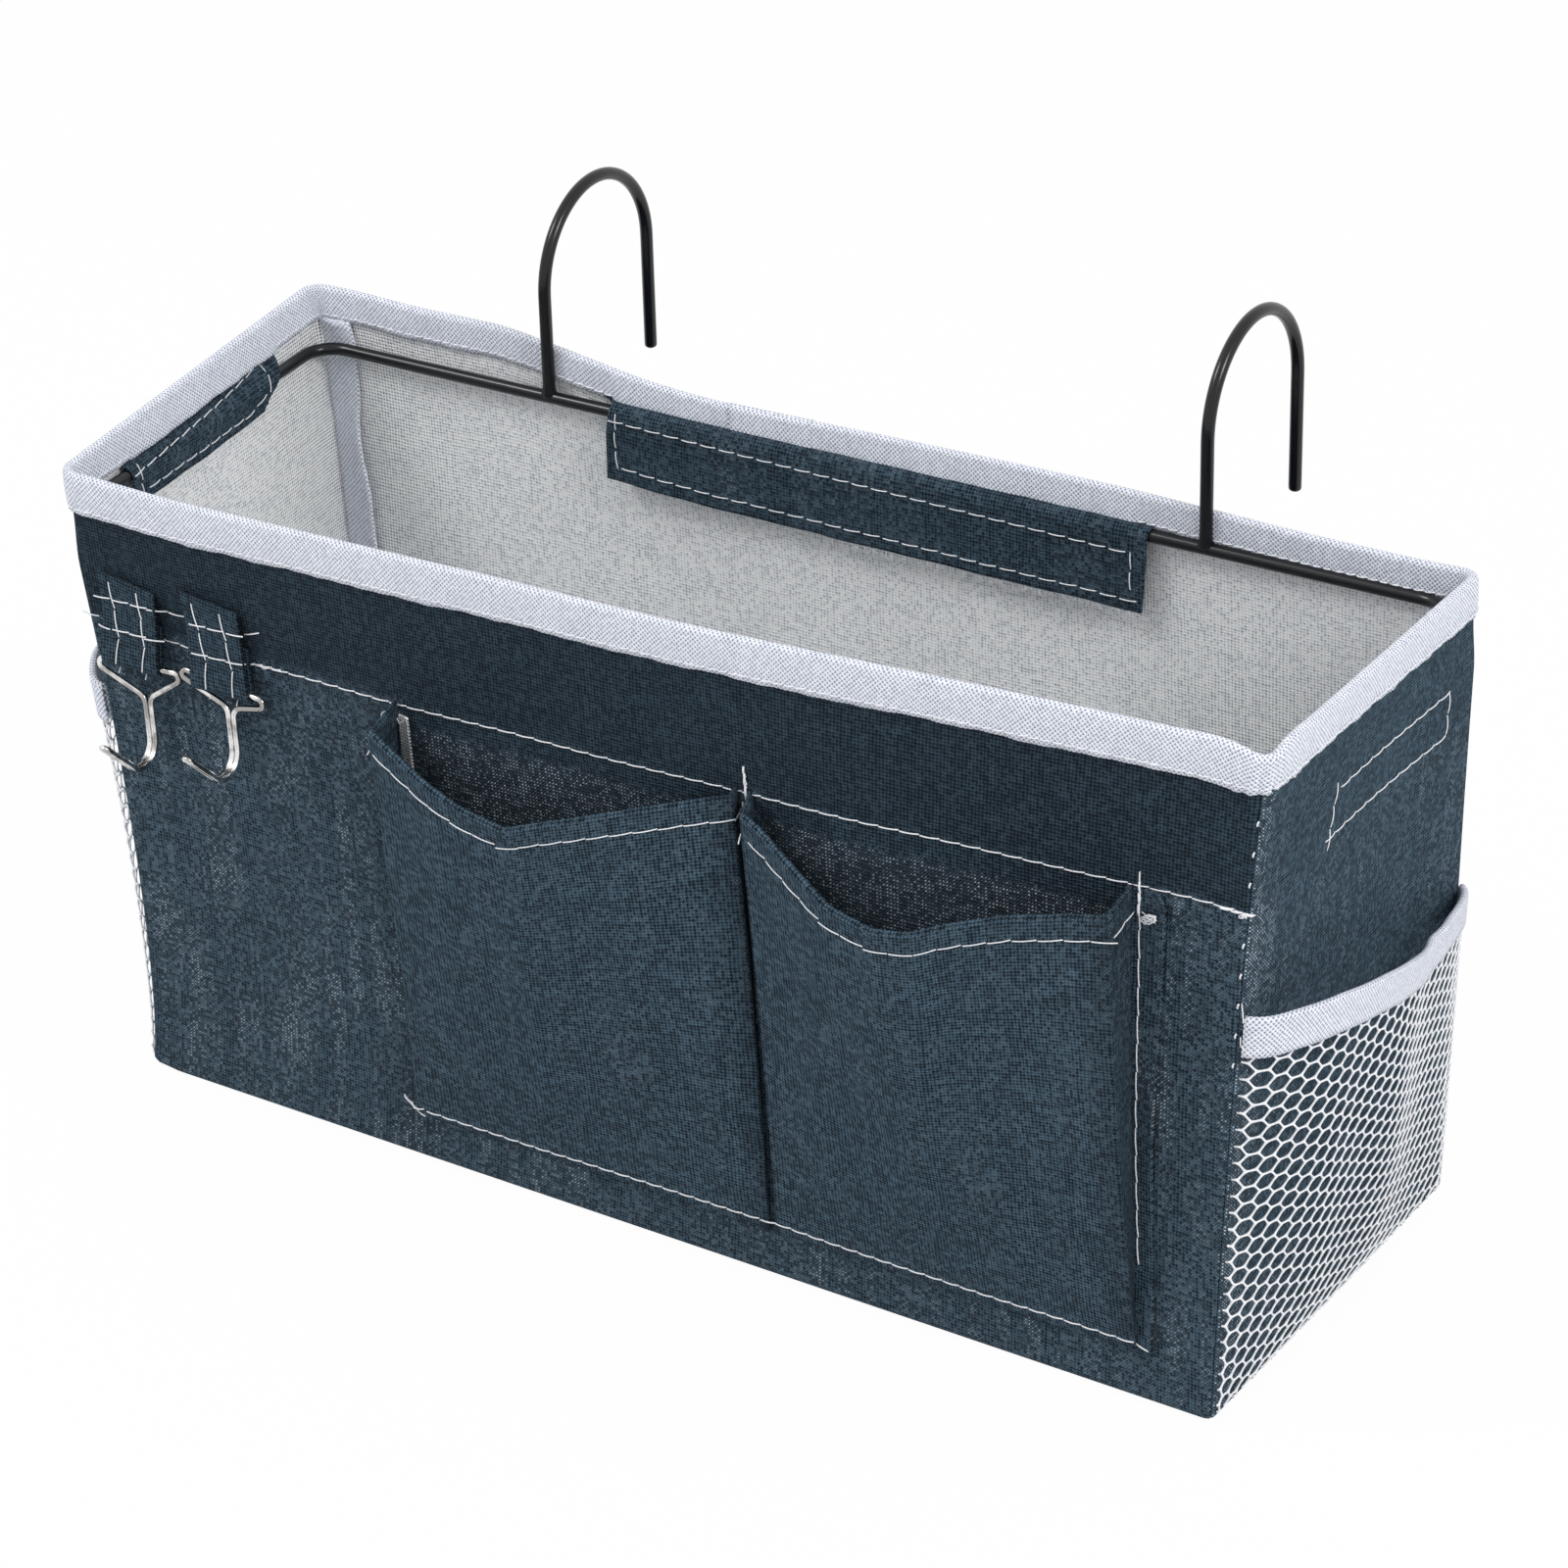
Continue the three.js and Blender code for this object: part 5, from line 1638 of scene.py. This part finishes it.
front = wall_surface("front")
tab_edges = {
    side: [corner.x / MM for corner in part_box(f"strap_tab_{side}")] for side in tab_surfaces
}
tab_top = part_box("strap_tab_left")[1].z
tab_lift = TAB / 2 + STITCH_LIFT


def over_tab(side, row, rise=0.0):
    """The stretch of a long row that runs over a strap tab."""
    surface, width = tab_surfaces[side]
    drop = tab_top - row * MM
    reach, run = width / 2 - 0.3 * MM, drop + 1.2 * MM
    share = 1 - drop / (tab_top - frame_joints[f"hook_{side}_swing"].z)
    middle, skewed = TAB_RISE[side]
    ends = [(-reach, run + share * (middle - skewed)), (reach, run + share * (middle + skewed) + rise)]
    return seam_path(surface, ends, tab_lift, side=-1, count=24)


def on_front(corners, lift=STITCH_LIFT, count=12):
    """A seam through corners on the front, each a distance along and a height."""
    return seam_path(front, np.array(corners) * MM, lift, count=count)


left_of_tabs, right_of_tabs = tab_edges["left"][0], tab_edges["right"][1]
between = (tab_edges["left"][1] + 1.6, tab_edges["right"][0] + 1.2)
upper_row = run_on(
    over_tab("left", ROW_UPPER),
    on_front([(between[0], ROW_UPPER + 0.4), (between[1], ROW_UPPER)]),
    over_tab("right", ROW_UPPER, 0.6 * MM),
    on_front([(right_of_tabs + 1.2, ROW_UPPER), (right_of_tabs + 3, ROW_UPPER + 0.5)]),
)
lower_row = run_on(
    on_front([(left_of_tabs - 7, ROW_TAB + 2), (left_of_tabs - 0.5, ROW_TAB + 1.4)]),
    over_tab("left", ROW_TAB),
    on_front([(between[0], ROW_TAB + 0.5), (between[1], ROW_TAB)]),
    over_tab("right", ROW_TAB),
    on_front([
        (right_of_tabs + 1, ROW_TAB + 0.6), (-91, ROW_LEFT), (-20, 155.4), (60, 156), (120, 156.6),
        (half_length(ROW_RIGHT * MM) / MM - 1.5, ROW_RIGHT),
    ], count=260),
)
stitches("front_rows", [upper_row, lower_row], "caddy", pitch=6.0 * MM, length=5.9 * MM)

paths = []
for side, (surface, width) in tab_surfaces.items():
    for start, bend, end in ((-0.3, -0.22, -0.27), (0.2, 0.26, 0.2)):
        line = [(start + 0.01, 8), (start + 0.02, 11), (bend, 18), (bend + 0.02, 24), (end, 32)]
        corners = [(share * width, run * MM) for share, run in line]
        paths.append(seam_path(surface, corners, tab_lift, side=-1, count=40))
stitches("tab_stitching", paths, "caddy", pitch=8.0 * MM, length=7.9 * MM, thickness=0.36 * MM)

hem_row = 1 - POCKET_HEM / (POCKET_TOP - POCKET_FOOT)
pocket_lift = POCKET / 2 + STITCH_LIFT


def on_pocket(node, u_from, u_to, v, count):
    u = np.linspace(u_from, u_to, count)
    corners = np.stack([u, np.full(u.shape, v)], -1)
    return seam_path(pocket_surfaces[node], corners, pocket_lift, (0.003, 0.003), count)


paths = [
    on_pocket("pocket_left", 0.085, 0.985, hem_row, 170),
    on_pocket("pocket_right", 0.085, 0.99, hem_row, 170),
]
stitches("pocket_hems", paths, "caddy", pitch=7.4 * MM, length=7.3 * MM, thickness=0.38 * MM)

foot_row = run_on(
    on_front([(-83.6, 20), (-81.5, 18)], 1.4 * MM, 4),
    on_pocket("pocket_left", 0.1, 0.9, 0.022, 110),
    on_pocket("pocket_right", 0.1, 0.9, 0.026, 110),
    on_front([(159.4, 19), (160.4, 18.6)], 1.8 * MM, 4),
)
stitches("foot_row", [foot_row], "caddy", pitch=5.4 * MM, length=5.3 * MM)


def on_flange(corners, lift, count):
    """A seam through corners on the folded strip."""
    return seam_path(flange_surface, np.array(corners) * MM, lift, count=count)


paths = [
    on_flange([(157.0, 157.6), (158.6, 70), (159.0, 48)], pocket_lift, 110),
    on_front([(38.9, 149.5), (38.7, 152)], 1.6 * MM, 6),
]
stitches("pocket_seams", paths, "caddy", pitch=8.4 * MM, length=8.3 * MM, thickness=0.4 * MM)

paths = [
    on_front([(39.0, 152.4), (38.7, 162.6)], 0.5 * MM, 12),
    on_front([(39.3, 153), (39.1, 160.6)], 0.75 * MM, 12),
    on_flange([(156.8, 151), (157.0, 157.4)], pocket_lift + 0.2 * MM, 8),
    on_front([(-125.6, ROW_TAB + 0.9), (-119, ROW_TAB + 0.9)], 0.3 * MM, 8),
    on_front([(-79.5, 17.4), (-84, 20.6)], 1.6 * MM, 6),
    on_front([(181, ROW_RIGHT - 0.3), (187.4, ROW_RIGHT - 0.2)], 0.4 * MM, 8),
]
stitches("back_tacks", paths, "caddy", **BACK_TACK)

corner_seam = []
for height in np.arange(*CORNER_SEAM):
    edge = half_length(height * MM) / MM - 0.8
    corner_seam.append(on_front([(edge - 0.2, height), (edge + 0.3, height + 1)], 0.1 * MM, 4))
stitches("corner_stitching", corner_seam, "caddy", pitch=4 * MM, length=1.4 * MM, thickness=0.5 * MM)


def curl(place, size, turns, squash=0.6, count=44):
    """A tangled end of thread: a few loops round a place on the front."""
    angle = np.linspace(0, turns * 2 * np.pi, count)
    wobble = 1 + 0.35 * np.sin(angle * 0.37 + 1)
    x = place[0] * MM + size * wobble * np.cos(angle)
    z = place[1] * MM + size * wobble * squash * np.sin(angle * 1.13)
    return on_wall("front", x, z, place[2] * MM + size * 0.5 * np.sin(angle * 0.71))


def wisp(points):
    """A fine end of thread through a few places on the front: along, height, out, in millimetres."""
    points = np.array(points, float)
    share = np.linspace(0, len(points) - 1, 6 * len(points))
    x, z, out = (np.interp(share, np.arange(len(points)), points[:, i]) * MM for i in range(3))
    return on_wall("front", x, z, out)


loose_threads("thread_knots", [
    curl((160.6, 149.6, 2.6), 1.7 * MM, 5.5), curl((-122, 155.2, 0.9), 0.9 * MM, 2.5, 0.4),
    curl((186.4, 156.6, 0.9), 0.8 * MM, 2.5),
], "caddy")
loose_threads("thread_ends", [
    wisp([(-77.5, 153.6, 1.2), (-79.4, 152.4, 2.4), (-79.8, 149.8, 3.0), (-78.8, 147.6, 2.6)]),
    wisp([(-75.0, 151.8, 1.6), (-73.4, 150.6, 2.6), (-72.2, 151.6, 2.2)]),
    wisp([(187.2, 131.5, 0.8), (187.9, 129, 1.4), (188.4, 126.6, 1.9)]),
    wisp([(187.2, 121.5, 0.8), (187.6, 119.6, 1.5), (188.8, 118.4, 1.6)]),
], "caddy")

paths = [
    seam_path(wall_surface(side), np.array(corners) * MM, STITCH_LIFT, count=240)
    for side, corners in END_SQUARES.items()
]
stitches("wall_squares", paths, "caddy", thickness=0.38 * MM)

for side, (surface, run_at) in flap_surfaces.items():
    corners = [(along * MM, float(run_at(height * MM))) for along, height in FLAP_SEAMS[side]]
    path = seam_path(surface, corners, FLAP / 2 + STITCH_LIFT, count=300)
    seam = stitches(f"{side}_flap_stitching", [path], None, length=STITCH * 0.82, thickness=0.38 * MM)
    turn_with_flap(seam)

frays = np.random.default_rng(11)
surface, run_at = flap_surfaces["back"]
foot_run = float(run_at(FLAP_SHAPES["back"]["drop"][0] * MM))
hairs = []
for along in frays.uniform(*FRAYED, HAIRS) * MM:
    drift, length = frays.normal(0, 0.9) * MM, frays.uniform(1.0, 2.8) * MM
    root = surface(along, foot_run - HAIR_ROOT)
    hairs.append([
        root + np.array((-drift * share * share, -0.4 * MM * math.sin(2.4 * share), -length * share))
        for share in np.linspace(0, 1, 4)
    ])
loose_threads("back_flap_fray", hairs, "back_flap", thickness=0.14 * MM)

paths = []
ways = np.concatenate([stations[:, 2:], np.zeros((len(stations), 1))], -1)
for out, foot, sign in (
    (BINDING_OUT + BINDING_SEAM_OUT, BINDING_FOOT + BINDING_SEAM_UP[0], 1),
    (BINDING_IN - BINDING_SEAM_OUT, BINDING_FOOT + INNER_WING_SHORT + BINDING_SEAM_UP[1], -1),
):
    route = round_rim(stations, foot, out)
    path = settle(np.concatenate([route, route[:1]]))
    paths.append((path, np.concatenate([ways, ways[:1]]) * sign))
stitches("binding_stitching", paths, "caddy", pitch=3.4 * MM, length=2.9 * MM, thickness=0.4 * MM)
